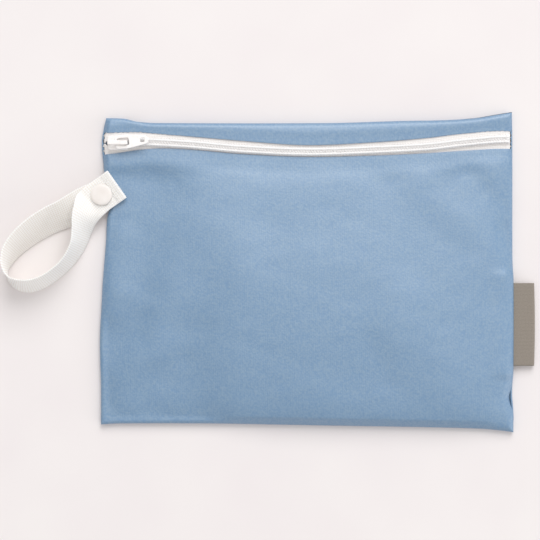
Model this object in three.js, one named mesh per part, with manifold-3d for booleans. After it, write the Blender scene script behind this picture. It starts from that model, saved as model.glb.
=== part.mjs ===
// A zipped wet bag of laminated cloth, lying flat on its back, with a webbing wrist loop snapped shut.
// Millimetres. X runs along the zip, Y across the bag towards the zip, Z up from the surface it lies on.
// The origin is on that surface, under the middle of the bag.
import * as THREE from "three";
import { mergeVertices } from "three/addons/utils/BufferGeometryUtils.js";
import Module from "manifold-3d";

const wasm = await Module();
wasm.setup();

// Bag
const BAG_WIDTH = 239;
const BAG_HEIGHT = 178;
const CLOTH = 1;
const SEAM_LEVEL = 2.3;
const SEAM_ROLL = 1.6;
const SEAM_ROLL_REACH = 2.5;
const BACK_ROLL_REACH = 3;
const PUFF = 5.5;
const PUFF_REACH = 12;
const SINK_SHARE = 0.5;
const GAP = 0.3;

// Zip
const TAPE = 1;
const TAPE_HIDDEN = 3;
const TAPE_END_INSET = 1.2;
const TAPE_PARTING = 0.5;
const ZIP_REACH = 7;
const ZIP_FLAT_ABOVE = 8.5;
const ZIP_FLAT_BELOW = 11;
const ZIP_FADE = 8;
const LIP_LIFT = 0.5;
const LIP_LIFT_REACH = 6;
const COIL_WIDTH = 5.2;
const COIL_THICKNESS = 2;
const COIL_PITCH = 1.6;
const COIL_RIB = 0.4;
const COIL_SHOULDER = 0.9;
const COIL_END_INSET = 4;

// Slider and pull
const SLIDER_LENGTH = 11.6;
const SLIDER_WIDTH = 8.4;
const SLIDER_TAIL_WIDTH = 7.9;
const SLIDER_INSET = 3.7;
const SLIDER_NOSE_RADIUS = 3;
const SLIDER_ROOM = 1.6;
const PLATE = 1;
const POST_LENGTH = 1.8;
const POST_WIDTH = 2.4;
const POST_INSET = 0.7;
const CROWN_WIDTH = 2.3;
const CROWN_LEG = 1.5;
const CROWN_BAR = 1.2;
const PULL_LENGTH = 19.3;
const PULL_WIDTH = 8;
const PULL_TIP_WIDTH = 5.1;
const PULL_THICKNESS = 1.3;
const PULL_BAR = 1.2;
const PULL_EYE_LENGTH = 6.8;
const PULL_EYE_WIDTH = 4.4;
const PULL_WINDOW_LENGTH = 2.4;
const PULL_WINDOW_WIDTH = 2.4;
const PULL_WINDOW_INSET = 2.4;
const PULL_PLACE = 5;
const PULL_SWING_ROOM = 0.4;
const PULL_TURN_DEG = 5.5;

// Wrist strap
const STRAP_WIDTH = 19.2;
const STRAP_THICKNESS = 1.2;
const LOOP_REACH = 60;
const LOOP_DROP = 70;
const STRAP_HEM = 4.5;
const STRAP_STEPS = 72;

// Snap
const SNAP_DIAMETER = 12.2;
const SNAP_CAP_HEIGHT = 1.5;
const SNAP_CAP_RIM = 0.6;
const SNAP_PIN_DIAMETER = 2.6;
const SNAP_RING_DIAMETER = 11;
const SNAP_SOCKET_HEIGHT = 1.9;
const SNAP_STUD_HEIGHT = 0.9;
const SNAP_KNOB_HEIGHT = 0.9;
const SNAP_KNOB_DIAMETER = 5;
const SNAP_BACK_HEIGHT = 0.9;
const SNAP_SIDES = 20;
// The cap's dome from its rim to its middle: how far out and how far up, as shares of its radius and rise
const SNAP_DOME = [
  { out: 1, up: 0 },
  { out: 0.9, up: 0.5 },
  { out: 0.6, up: 0.88 },
  { out: 0, up: 1 },
];

// Label
const LABEL_LENGTH = 48;
const LABEL_REACH = 12;
const LABEL_LAYER = 1;
const LABEL_SEWN_IN = 5;

// Rows and columns of the cloth, and the steps of its rows from a seam, as shares of the seam's reach
const FRONT_COLUMNS = 28;
const FRONT_ROWS = 15;
const BACK_COLUMNS = 10;
const BACK_ROWS = 6;
const STRIP_ROWS = 3;
const TAPE_ROWS = 2;
const SEAM_STEPS = [0, 0.36, 1, 2.4];
const WELD_SHARE = 1e-4;

// The bag's outline, from its lower left corner. at: share of the way along the edge; off: how far the edge
// stands out from the plain rectangle there, as a share of the width (sides) or the height (top and bottom).
const LEFT_EDGE = [
  { at: 0, off: 0.0036 },
  { at: 0.12, off: 0.0036 },
  { at: 0.275, off: 0.006 },
  { at: 0.41, off: 0.0012 },
  { at: 0.47, off: -0.0012 },
  { at: 0.59, off: -0.0085 },
  { at: 0.685, off: -0.0135 },
  { at: 0.735, off: -0.0295 },
  { at: 0.775, off: -0.0295 },
  { at: 0.82, off: -0.005 },
  { at: 0.85, off: -0.0024 },
  { at: 0.92, off: 0.0012 },
  { at: 0.966, off: -0.0036 },
  { at: 1, off: -0.0095 },
];
const RIGHT_EDGE = [
  { at: 0, off: -0.0027 },
  { at: 0.045, off: -0.0027 },
  { at: 0.1, off: -0.0056 },
  { at: 0.2, off: -0.003 },
  { at: 0.46, off: -0.003 },
  { at: 0.55, off: -0.0053 },
  { at: 0.94, off: -0.0053 },
  { at: 1, off: -0.0063 },
];
const TOP_EDGE = [
  { at: 0, off: -0.002 },
  { at: 0.046, off: -0.0046 },
  { at: 0.08, off: -0.0145 },
  { at: 0.14, off: -0.0179 },
  { at: 0.55, off: -0.0179 },
  { at: 0.72, off: -0.0114 },
  { at: 0.84, off: -0.0081 },
  { at: 0.91, off: -0.0016 },
  { at: 0.955, off: 0.0081 },
  { at: 1, off: 0.0179 },
];
const BOTTOM_EDGE = [
  { at: 0, off: 0 },
  { at: 0.04, off: -0.0033 },
  { at: 0.26, off: -0.0033 },
  { at: 0.48, off: 0.0016 },
  { at: 0.62, off: 0.0049 },
  { at: 0.76, off: 0.0081 },
  { at: 0.87, off: 0.0114 },
  { at: 0.93, off: 0.0147 },
  { at: 0.98, off: 0.0212 },
  { at: 1, off: 0.0257 },
];

// The zip's run across the bag. upper and lower: the two cloth lips; coil: the middle of the coil.
// All are shares of the bag's height, from the bottom.
const ZIP_RUN = [
  { at: 0, upper: 0.95, coil: 0.9155, lower: 0.877 },
  { at: 0.045, upper: 0.951, coil: 0.9165, lower: 0.884 },
  { at: 0.08, upper: 0.9525, coil: 0.9195, lower: 0.8915 },
  { at: 0.14, upper: 0.9463, coil: 0.9173, lower: 0.8974 },
  { at: 0.22, upper: 0.938, coil: 0.9107, lower: 0.893 },
  { at: 0.34, upper: 0.9245, coil: 0.8965, lower: 0.879 },
  { at: 0.5, upper: 0.9104, coil: 0.8876, lower: 0.87 },
  { at: 0.67, upper: 0.9205, coil: 0.8948, lower: 0.8746 },
  { at: 0.79, upper: 0.9335, coil: 0.904, lower: 0.882 },
  { at: 0.87, upper: 0.9465, coil: 0.9166, lower: 0.889 },
  { at: 0.955, upper: 0.956, coil: 0.9277, lower: 0.896 },
  { at: 1, upper: 0.956, coil: 0.929, lower: 0.896 },
];

// Dents (rise under 0) and folds (rise over 0) of the front. x and y: shares of the bag's width and height from
// its lower left corner, from one end to the other; width: share of the height; rise: share of the puff.
const FOLDS = [
  { fromX: 0.081, fromY: 0.896, toX: 0.141, toY: 0.751, width: 0.124, rise: -0.594 },
  { fromX: 0.864, fromY: 0.871, toX: 0.927, toY: 0.767, width: 0.038, rise: -0.192 },
  { fromX: -0.001, fromY: 0.81, toX: 0.134, toY: 0.789, width: 0.019, rise: -0.148 },
  { fromX: -0.016, fromY: 0.8, toX: 0.175, toY: 0.787, width: 0.019, rise: -0.118 },
  { fromX: 0.855, fromY: 0.781, toX: 0.944, toY: 0.707, width: 0.07, rise: -0.267 },
  { fromX: 0.105, fromY: 0.753, toX: 0.075, toY: 0.676, width: 0.058, rise: -0.334 },
  { fromX: 0.697, fromY: 0.771, toX: 0.858, toY: 0.572, width: 0.069, rise: -0.168 },
  { fromX: 0.199, fromY: 0.641, toX: 0.327, toY: 0.579, width: 0.118, rise: 0.193 },
  { fromX: 0.974, fromY: 0.627, toX: 0.988, toY: 0.577, width: 0.037, rise: -0.265 },
  { fromX: 0.531, fromY: 0.555, toX: 0.936, toY: 0.48, width: 0.127, rise: 0.321 },
  { fromX: 0.776, fromY: 0.523, toX: 1.049, toY: 0.386, width: 0.099, rise: -0.247 },
  { fromX: 0.355, fromY: 0.441, toX: 0.695, toY: 0.357, width: 0.159, rise: 0.421 },
  { fromX: 0.125, fromY: 0.544, toX: 0.379, toY: 0.148, width: 0.124, rise: -0.738 },
  { fromX: 0.163, fromY: 0.454, toX: 0.386, toY: 0.149, width: 0.11, rise: 0.49 },
  { fromX: 0.027, fromY: 0.279, toX: 0.079, toY: 0.303, width: 0.085, rise: -0.495 },
  { fromX: -0.01, fromY: 0.094, toX: 0.1, toY: 0.423, width: 0.083, rise: -0.642 },
  { fromX: 0.647, fromY: 0.272, toX: 0.692, toY: 0.145, width: 0.047, rise: -0.101 },
  { fromX: 0.151, fromY: 0.256, toX: 0.711, toY: 0.109, width: 0.286, rise: 0.751 },
  { fromX: 0.099, fromY: 0.121, toX: 0.185, toY: 0.212, width: 0.058, rise: -0.208 },
  { fromX: 0.24, fromY: 0.035, toX: 0.207, toY: 0.285, width: 0.101, rise: -0.591 },
  { fromX: 0.64, fromY: 0.143, toX: 0.716, toY: 0.106, width: 0.123, rise: -0.351 },
  { fromX: 0.098, fromY: -0.033, toX: 0.142, toY: 0.128, width: 0.099, rise: -0.791 },
  { fromX: 0.068, fromY: -0.062, toX: 0.929, toY: -0.14, width: 0.054, rise: -0.348 },
];

// The strap's lower edge from inside the left seam, round the loop and back to its free end. x: share of the
// loop's reach left of the bag's side; y: share of its drop below the top of the strap's seam; level: height
// of that edge, 0 on the surface, 1 as it leaves the seam, 2 on the closed snap; lean: turn about its length.
const STRAP_RUN = [
  { x: -0.295, y: 0.218, level: 1, lean: 0 },
  { x: -0.169, y: 0.281, level: 1, lean: 0 },
  { x: -0.073, y: 0.33, level: 1, lean: 0 },
  { x: 0.039, y: 0.377, level: 1, lean: 0 },
  { x: 0.179, y: 0.431, level: 0.3, lean: 17 },
  { x: 0.314, y: 0.475, level: 0, lean: 31 },
  { x: 0.455, y: 0.52, level: 0, lean: 38 },
  { x: 0.595, y: 0.582, level: 0, lean: 44 },
  { x: 0.721, y: 0.653, level: 0, lean: 52 },
  { x: 0.822, y: 0.726, level: 0, lean: 62 },
  { x: 0.888, y: 0.793, level: 0, lean: 76 },
  { x: 0.924, y: 0.853, level: 0, lean: 91.5 },
  { x: 0.908, y: 0.925, level: 0, lean: 102 },
  { x: 0.834, y: 0.987, level: 0, lean: 108.5 },
  { x: 0.729, y: 1.012, level: 0, lean: 111 },
  { x: 0.616, y: 0.996, level: 0, lean: 110.5 },
  { x: 0.506, y: 0.949, level: 0, lean: 108.5 },
  { x: 0.404, y: 0.885, level: 0, lean: 107.5 },
  { x: 0.309, y: 0.81, level: 0, lean: 107.5 },
  { x: 0.227, y: 0.723, level: 0, lean: 110 },
  { x: 0.164, y: 0.632, level: 0.1, lean: 114 },
  { x: 0.114, y: 0.533, level: 1, lean: 123 },
  { x: 0.0615, y: 0.447, level: 1.62, lean: 140 },
  { x: -0.005, y: 0.386, level: 2, lean: 177.5 },
  { x: -0.073, y: 0.334, level: 2, lean: 180 },
  { x: -0.145, y: 0.29, level: 2, lean: 180 },
  { x: -0.229, y: 0.239, level: 2.1, lean: 180 },
];
// The row of the run that the snap is on. Then shares of the bag's height: the strap's seam from its lower to
// its upper end, the middle of the label, and how far a seam takes to close beside them.
const SNAP_AFTER_ROWS = 2;
const STRAP_SEAM_FROM_SHARE = 0.695;
const STRAP_SEAM_TO_SHARE = 0.83;
const LABEL_MIDDLE_SHARE = 0.326;
const PASS_FADE_SHARE = 0.03;
const PASS_MARGIN = 4;
const PASS_REACH = 14;

// Finishes
const laminatedKnit = new THREE.MeshStandardMaterial({ color: 0x8ba9c6, roughness: 0.62, metalness: 0 });
const zipTape = new THREE.MeshStandardMaterial({ color: 0xe9e4e2, roughness: 0.85, metalness: 0 });
const nylonCoil = new THREE.MeshStandardMaterial({ color: 0xf4f0ee, roughness: 0.45, metalness: 0 });
const paintedZinc = new THREE.MeshStandardMaterial({ color: 0xf7f3f2, roughness: 0.35, metalness: 0 });
const webbing = new THREE.MeshStandardMaterial({ color: 0xf3eee8, roughness: 0.8, metalness: 0 });
const acetal = new THREE.MeshStandardMaterial({ color: 0xf6f2ef, roughness: 0.4, metalness: 0 });
const wovenLabel = new THREE.MeshStandardMaterial({ color: 0x8c8378, roughness: 0.75, metalness: 0 });

const clamp = (value) => Math.min(1, Math.max(0, value));
const ease = (value) => clamp(value) ** 2 * (3 - 2 * clamp(value));
const mix = (from, to, share) => from + (to - from) * share;
// The rounded turn of a seam: 0 at the seam, level again at the end of its reach.
const turn = (distance, reach) => Math.sqrt(1 - (1 - clamp(distance / reach)) ** 2);

// A smooth value from a table, by the column it is ordered by.
function read(rows, place, column, key = "at") {
  let i = rows.findIndex((row) => row[key] >= place);
  if (i < 0) i = rows.length - 1;
  i = Math.max(1, i);
  const slope = (a, b) => (rows[b][column] - rows[a][column]) / (rows[b][key] - rows[a][key]);
  const [first, last] = [Math.max(0, i - 2), Math.min(rows.length - 1, i + 1)];
  const span = rows[i][key] - rows[i - 1][key];
  const t = (place - rows[i - 1][key]) / span;
  const [p, q] = [rows[i - 1][column], rows[i][column]];
  const [m, n] = [slope(first, i) * span, slope(i - 1, last) * span];
  return p + t * (m + t * (3 * (q - p) - 2 * m - n + t * (2 * (p - q) + m + n)));
}

const leftX = (v) => -BAG_WIDTH * (0.5 + read(LEFT_EDGE, clamp(v), "off"));
const rightX = (v) => BAG_WIDTH * (0.5 + read(RIGHT_EDGE, clamp(v), "off"));
const topY = (u) => BAG_HEIGHT * (0.5 + read(TOP_EDGE, clamp(u), "off"));
const bottomY = (u) => -BAG_HEIGHT * (0.5 + read(BOTTOM_EDGE, clamp(u), "off"));
const zipY = (u, column) => BAG_HEIGHT * (read(ZIP_RUN, clamp(u), column) - 0.5);
const shareX = (x) => x / BAG_WIDTH + 0.5;
const shareY = (y) => y / BAG_HEIGHT + 0.5;

// Levels that follow from the thicknesses
const labelThickness = 2 * LABEL_LAYER + GAP;
const strapLevel = CLOTH + GAP + STRAP_THICKNESS / 2;
const sliderSeat = CLOTH + SLIDER_ROOM + PLATE + GAP + TAPE + GAP + CLOTH;
const snapStack = STRAP_THICKNESS + 2 * GAP + SNAP_STUD_HEIGHT + GAP + SNAP_SOCKET_HEIGHT;

// Where the strap and the label pass between the two panels, the seam opens to their thickness.
const passes = [
  { side: -1, from: STRAP_SEAM_FROM_SHARE, to: STRAP_SEAM_TO_SHARE, thickness: STRAP_THICKNESS },
  {
    side: 1,
    from: LABEL_MIDDLE_SHARE - (LABEL_LENGTH / 2 + PASS_MARGIN) / BAG_HEIGHT,
    to: LABEL_MIDDLE_SHARE + (LABEL_LENGTH / 2 + PASS_MARGIN) / BAG_HEIGHT,
    thickness: labelThickness,
  },
];

function openness(pass, x, y) {
  if (Math.sign(x) !== pass.side) return 0;
  const v = shareY(y);
  return ease(1 + (v - pass.from) / PASS_FADE_SHARE) * ease(1 + (pass.to - v) / PASS_FADE_SHARE);
}

function edgeDistances(x, y) {
  const [u, v] = [shareX(x), shareY(y)];
  return { left: x - leftX(v), right: rightX(v) - x, bottom: y - bottomY(u), top: topY(u) - y };
}

function frontRim(x, y) {
  const closed = SEAM_LEVEL + GAP / 2;
  const d = edgeDistances(x, y);
  const near = 1 - ease((Math.min(d.left, d.right) - SEAM_ROLL_REACH) / PASS_REACH);
  const lifts = passes.map((pass) => {
    const open = CLOTH + GAP + pass.thickness + GAP;
    return Math.max(0, open - closed) * openness(pass, x, y) * near;
  });
  return closed + Math.max(...lifts);
}

function backRim(x, y) {
  const closed = SEAM_LEVEL - GAP / 2;
  const drops = passes.map((pass) => (closed - CLOTH) * openness(pass, x, y));
  return closed - Math.max(...drops);
}

// The dents and folds that reach a point, added up.
function foldRise(x, y) {
  let rise = 0;
  for (const fold of FOLDS) {
    const from = new THREE.Vector2((fold.fromX - 0.5) * BAG_WIDTH, (fold.fromY - 0.5) * BAG_HEIGHT);
    const run = new THREE.Vector2((fold.toX - 0.5) * BAG_WIDTH, (fold.toY - 0.5) * BAG_HEIGHT).sub(from);
    const offset = new THREE.Vector2(x, y).sub(from);
    const along = clamp(offset.dot(run) / run.lengthSq());
    const away = offset.addScaledVector(run, -along).length() / (fold.width * BAG_HEIGHT);
    rise += fold.rise * PUFF * Math.exp(-away * away);
  }
  return rise;
}

// The height of the front's outer face. It is level across the zip, and under the slider along it too. Dents run
// out softly before they reach the level of the rim.
function frontHeight(x, y) {
  const d = edgeDistances(x, y);
  const side = Math.max(0, Math.min(d.left, d.right));
  const zipDepth = topY(shareX(x)) - zipY(shareX(x), "coil");
  const fromZip = d.top - zipDepth;
  const flat = fromZip < 0 ? ZIP_FLAT_ABOVE : ZIP_FLAT_BELOW;
  const beyond = Math.max(0, Math.abs(fromZip) - flat);
  const topReach = fromZip < 0 ? ZIP_REACH * turn(d.top, zipDepth - flat) : ZIP_REACH + beyond;
  const reach = (distance) => 1 - Math.exp(-distance / PUFF_REACH);
  const puff = PUFF * reach(side) * reach(topReach) * reach(Math.max(0, d.bottom));
  const nearest = Math.max(0, Math.min(side, d.top, d.bottom));
  const rim = frontRim(x, y) + SEAM_ROLL * turn(nearest, SEAM_ROLL_REACH);
  const clearOfRim = ease(nearest / (2 * SEAM_ROLL_REACH));
  const clearOfZip = ease(beyond / ZIP_FADE);
  const folded = puff + foldRise(x, y) * clearOfRim * clearOfZip;
  const plain = rim + (folded + Math.hypot(folded, SINK_SHARE * puff)) / 2;
  const sliderEnd = SLIDER_INSET + SLIDER_LENGTH;
  const seated =
    ease(d.left / SLIDER_INSET) * (1 - ease((d.left - sliderEnd) / SLIDER_LENGTH)) * (1 - clearOfZip);
  return mix(plain, sliderSeat, seated);
}

// A point at a depth under the front's outer face. At the seams the depth is taken inwards instead.
function underFront(x, y, depth) {
  const d = edgeDistances(x, y);
  const inwards = (distance) => depth * (1 - turn(distance, SEAM_ROLL_REACH));
  const nearest = Math.min(d.left, d.right, d.top, d.bottom);
  return [
    x + inwards(d.left) - inwards(d.right),
    y + inwards(d.bottom) - inwards(d.top),
    frontHeight(x, y) - depth * turn(nearest, SEAM_ROLL_REACH),
  ];
}

// A point of the bag by shares: u across the width, y given by a function of u.
function across(u, y) {
  const v = shareY(y);
  return [mix(leftX(v), rightX(v), u), y];
}

// Shares along a side of the cloth, closer together where it turns into a seam.
function shares(count, length, reach, seamAtStart, seamAtEnd) {
  const close = SEAM_STEPS.map((step) => (step * reach) / length);
  const start = seamAtStart ? close : [0];
  const end = seamAtEnd ? close.map((share) => 1 - share).reverse() : [1];
  const [from, to] = [start[start.length - 1], end[0]];
  const middle = Array.from({ length: count - 1 }, (_, i) => mix(from, to, (i + 1) / count));
  return [...start, ...middle, ...end];
}

// Rows of a panel as high as a share of the bag, with rows of its own where the strap and label pass its seams.
function panelRows(rows, height) {
  const own = passes.flatMap((pass) => {
    const inside = [pass.from, mix(pass.from, pass.to, 1 / 3), mix(pass.from, pass.to, 2 / 3), pass.to];
    const steps = [pass.from - PASS_FADE_SHARE, ...inside, pass.to + PASS_FADE_SHARE];
    return steps.map((share) => share / height);
  });
  const spare = rows.filter((row) => own.every((share) => Math.abs(row - share) > PASS_FADE_SHARE / 2));
  return [...spare, ...own].sort((a, b) => a - b);
}

function meshOf(name, geometry, material) {
  const mesh = new THREE.Mesh(geometry, material);
  mesh.name = name;
  return mesh;
}

function geometryOf(positions, faces) {
  const geometry = new THREE.BufferGeometry();
  geometry.setAttribute("position", new THREE.Float32BufferAttribute(positions, 3));
  geometry.setIndex(faces);
  geometry.computeVertexNormals();
  return geometry;
}

// A closed cloth wall between an upper and a lower surface over the same columns and rows.
function wall(columns, rows, upper, lower) {
  const positions = [];
  for (const surface of [lower, upper])
    for (const v of rows) for (const u of columns) positions.push(...surface(u, v));
  const [wide, high] = [columns.length, rows.length];
  const layer = wide * high;
  const at = (c, r) => r * wide + c;
  const faces = [];
  for (let r = 0; r + 1 < high; r++) {
    for (let c = 0; c + 1 < wide; c++) {
      const [a, b, e, f] = [at(c, r), at(c + 1, r), at(c + 1, r + 1), at(c, r + 1)];
      faces.push(a, e, b, a, f, e);
      faces.push(a + layer, b + layer, e + layer, a + layer, e + layer, f + layer);
    }
  }
  const border = [];
  for (let c = 0; c + 1 < wide; c++) border.push(at(c, 0));
  for (let r = 0; r + 1 < high; r++) border.push(at(wide - 1, r));
  for (let c = wide - 1; c > 0; c--) border.push(at(c, high - 1));
  for (let r = high - 1; r > 0; r--) border.push(at(0, r));
  border.forEach((a, i) => {
    const b = border[(i + 1) % border.length];
    faces.push(a, b, b + layer, a, b + layer, a + layer);
  });
  return geometryOf(positions, faces);
}

// A closed solid through rings of points that all have the same count.
function loft(rings) {
  const count = rings[0].length;
  const faces = [];
  for (let i = 0; i + 1 < rings.length; i++) {
    for (let j = 0; j < count; j++) {
      const [a, b] = [i * count + j, i * count + ((j + 1) % count)];
      faces.push(a, b, b + count, a, b + count, a + count);
    }
  }
  const last = (rings.length - 1) * count;
  for (let j = 1; j + 1 < count; j++) {
    faces.push(0, j + 1, j);
    faces.push(last, last + j, last + j + 1);
  }
  return geometryOf(rings.flat().flatMap((point) => point.toArray()), faces);
}

function solidOf(geometry) {
  const bare = new THREE.BufferGeometry();
  bare.setAttribute("position", geometry.getAttribute("position"));
  bare.setIndex(geometry.index);
  const merged = mergeVertices(bare, WELD_SHARE);
  return new wasm.Manifold(
    new wasm.Mesh({
      numProp: 3,
      vertProperties: merged.attributes.position.array,
      triVerts: new Uint32Array(merged.index.array),
    }),
  );
}

function geometryFrom(solid) {
  const { vertProperties, triVerts } = solid.getMesh();
  return geometryOf(Array.from(vertProperties), Array.from(triVerts));
}

// A flat outline raised from one height to another.
function raised(shape, from, to) {
  const settings = { depth: to - from, bevelEnabled: false, curveSegments: 6 };
  return new THREE.ExtrudeGeometry(shape, settings).translate(0, 0, from);
}

const profile = (points) => points.map(([radius, height]) => new THREE.Vector2(radius, height));

// A turned piece about the vertical axis, from a profile of radius and height.
function turned(points, sides = SNAP_SIDES) {
  return new THREE.LatheGeometry(profile(points), sides).rotateX(Math.PI / 2);
}

function makeFrontPanel() {
  const columns = shares(FRONT_COLUMNS, BAG_WIDTH, SEAM_ROLL_REACH, true, true);
  const height = read(ZIP_RUN, 0, "lower");
  const flatEdge = 1 - (TAPE_HIDDEN + 2 * GAP) / BAG_HEIGHT;
  const plainRows = shares(FRONT_ROWS, BAG_HEIGHT, SEAM_ROLL_REACH, true, false);
  const rows = panelRows([...plainRows, flatEdge], height);
  const place = (u, v) => across(u, mix(bottomY(u), zipY(u, "lower"), v));
  const outer = (u, v) => [...place(u, v), frontHeight(...place(u, v))];
  const inner = (u, v) => underFront(...place(u, v), CLOTH);
  return meshOf("front_panel", wall(columns, rows, outer, inner), laminatedKnit);
}

function makeTopStrip() {
  const columns = shares(FRONT_COLUMNS, BAG_WIDTH, SEAM_ROLL_REACH, true, true);
  const width = BAG_HEIGHT * (1 - read(ZIP_RUN, 0.5, "upper"));
  const rows = shares(STRIP_ROWS, width, SEAM_ROLL_REACH, false, true);
  const place = (u, v) => across(u, mix(zipY(u, "upper"), topY(u), v));
  const lift = (u, v) => {
    const fromLip = (topY(u) - zipY(u, "upper")) * v;
    return LIP_LIFT * Math.sin(Math.PI * u) ** 2 * (1 - ease(fromLip / LIP_LIFT_REACH));
  };
  const outer = (u, v) => [...place(u, v), frontHeight(...place(u, v)) + lift(u, v)];
  const inner = (u, v) => {
    const [x, y, z] = underFront(...place(u, v), CLOTH);
    return [x, y, z + lift(u, v)];
  };
  return meshOf("top_strip", wall(columns, rows, outer, inner), laminatedKnit);
}

function makeBackPanel() {
  const columns = shares(BACK_COLUMNS, BAG_WIDTH, BACK_ROLL_REACH, true, true);
  const rows = panelRows(shares(BACK_ROWS, BAG_HEIGHT, BACK_ROLL_REACH, true, true), 1);
  const place = (u, v) => across(u, mix(bottomY(u), topY(u), v));
  const upturn = (x, y) => {
    const d = edgeDistances(x, y);
    const nearest = Math.max(0, Math.min(d.left, d.right, d.top, d.bottom));
    return 1 - turn(nearest, BACK_ROLL_REACH);
  };
  const outer = (u, v) => {
    const [x, y] = place(u, v);
    return [x, y, backRim(x, y) * upturn(x, y)];
  };
  const inner = (u, v) => {
    const [x, y] = place(u, v);
    const d = edgeDistances(x, y);
    const inwards = (distance) => CLOTH * (1 - turn(distance, BACK_ROLL_REACH));
    return [
      x + inwards(d.left) - inwards(d.right),
      y + inwards(d.bottom) - inwards(d.top),
      mix(CLOTH, backRim(x, y), upturn(x, y)),
    ];
  };
  return meshOf("back_panel", wall(columns, rows, inner, outer), laminatedKnit);
}

const tapeTop = CLOTH + GAP;
const sliderNoseX = leftX(shareY(zipY(0, "coil"))) + SLIDER_INSET;
const postX = sliderNoseX + POST_INSET + POST_LENGTH / 2;

// Half the space between the two tapes: closed under the coil, open round the slider's post.
function tapeParting(x) {
  const open = POST_WIDTH / 2 + GAP;
  return mix(TAPE_PARTING / 2, open, 1 - ease(Math.abs(x - postX) / POST_LENGTH - 1));
}

function makeTape(name, lip, direction) {
  const start = TAPE_END_INSET / BAG_WIDTH;
  const columns = Array.from({ length: FRONT_COLUMNS + 1 }, (_, i) => mix(start, 1 - start, i / FRONT_COLUMNS));
  const nearPost = [-2, -1, 1, 2].map((step) => shareX(postX + step * POST_LENGTH));
  const ordered = [...columns, ...nearPost].sort((a, b) => a - b);
  const rows = Array.from({ length: TAPE_ROWS + 1 }, (_, i) => i / TAPE_ROWS);
  const place = (u, v) => {
    const middle = zipY(u, "coil") + direction * tapeParting(across(u, zipY(u, "coil"))[0]);
    const hidden = zipY(u, lip) + direction * TAPE_HIDDEN;
    return across(u, direction > 0 ? mix(middle, hidden, v) : mix(hidden, middle, v));
  };
  const upper = (u, v) => underFront(...place(u, v), tapeTop);
  const lower = (u, v) => underFront(...place(u, v), tapeTop + TAPE);
  return meshOf(name, wall(ordered, rows, upper, lower), zipTape);
}

function makeCoil() {
  const start = postX + POST_LENGTH / 2 + GAP;
  const end = rightX(shareY(zipY(1, "coil"))) - COIL_END_INSET;
  const steps = 2 * Math.round((end - start) / COIL_PITCH);
  const centre = (x) => new THREE.Vector3(x, zipY(shareX(x), "coil"), 0);
  const rings = [];
  for (let i = 0; i <= steps; i++) {
    const x = mix(start, end, i / steps);
    const middle = centre(x);
    const along = centre(x + COIL_PITCH).sub(centre(x - COIL_PITCH)).normalize();
    const sideways = new THREE.Vector3(-along.y, along.x, 0);
    const base = frontHeight(x, middle.y) - tapeTop + GAP;
    const rib = i % 2 ? 0 : COIL_RIB;
    const [half, high] = [COIL_WIDTH / 2 - rib, COIL_THICKNESS - rib];
    const corner = (out, up) => middle.clone().addScaledVector(sideways, out).setZ(base + up);
    rings.push([
      corner(half, 0),
      corner(half - COIL_SHOULDER / 2, high),
      corner(-half + COIL_SHOULDER / 2, high),
      corner(-half, 0),
    ]);
  }
  return meshOf("zip_coil", loft(rings), nylonCoil);
}

// The slider's levels, up from the tapes it runs on
const tapeLevel = sliderSeat - tapeTop;
const coilTop = tapeLevel + GAP + COIL_THICKNESS;
const topPlateLevel = coilTop + GAP;
const crownLevel = topPlateLevel + PLATE;
const pullLevel = crownLevel + PULL_SWING_ROOM;
const crownBarLevel = pullLevel + PULL_THICKNESS + PULL_SWING_ROOM;

// The slider's outline from above: a rounded nose at its left end and a narrower tail.
function sliderOutline(inset) {
  const [nose, tail] = [SLIDER_WIDTH / 2 - inset, SLIDER_TAIL_WIDTH / 2 - inset];
  const shape = new THREE.Shape();
  shape.moveTo(SLIDER_LENGTH, -tail);
  shape.lineTo(SLIDER_LENGTH, tail);
  shape.lineTo(SLIDER_NOSE_RADIUS, nose);
  shape.quadraticCurveTo(0, nose, 0, 0);
  shape.quadraticCurveTo(0, -nose, SLIDER_NOSE_RADIUS, -nose);
  return shape;
}

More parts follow.
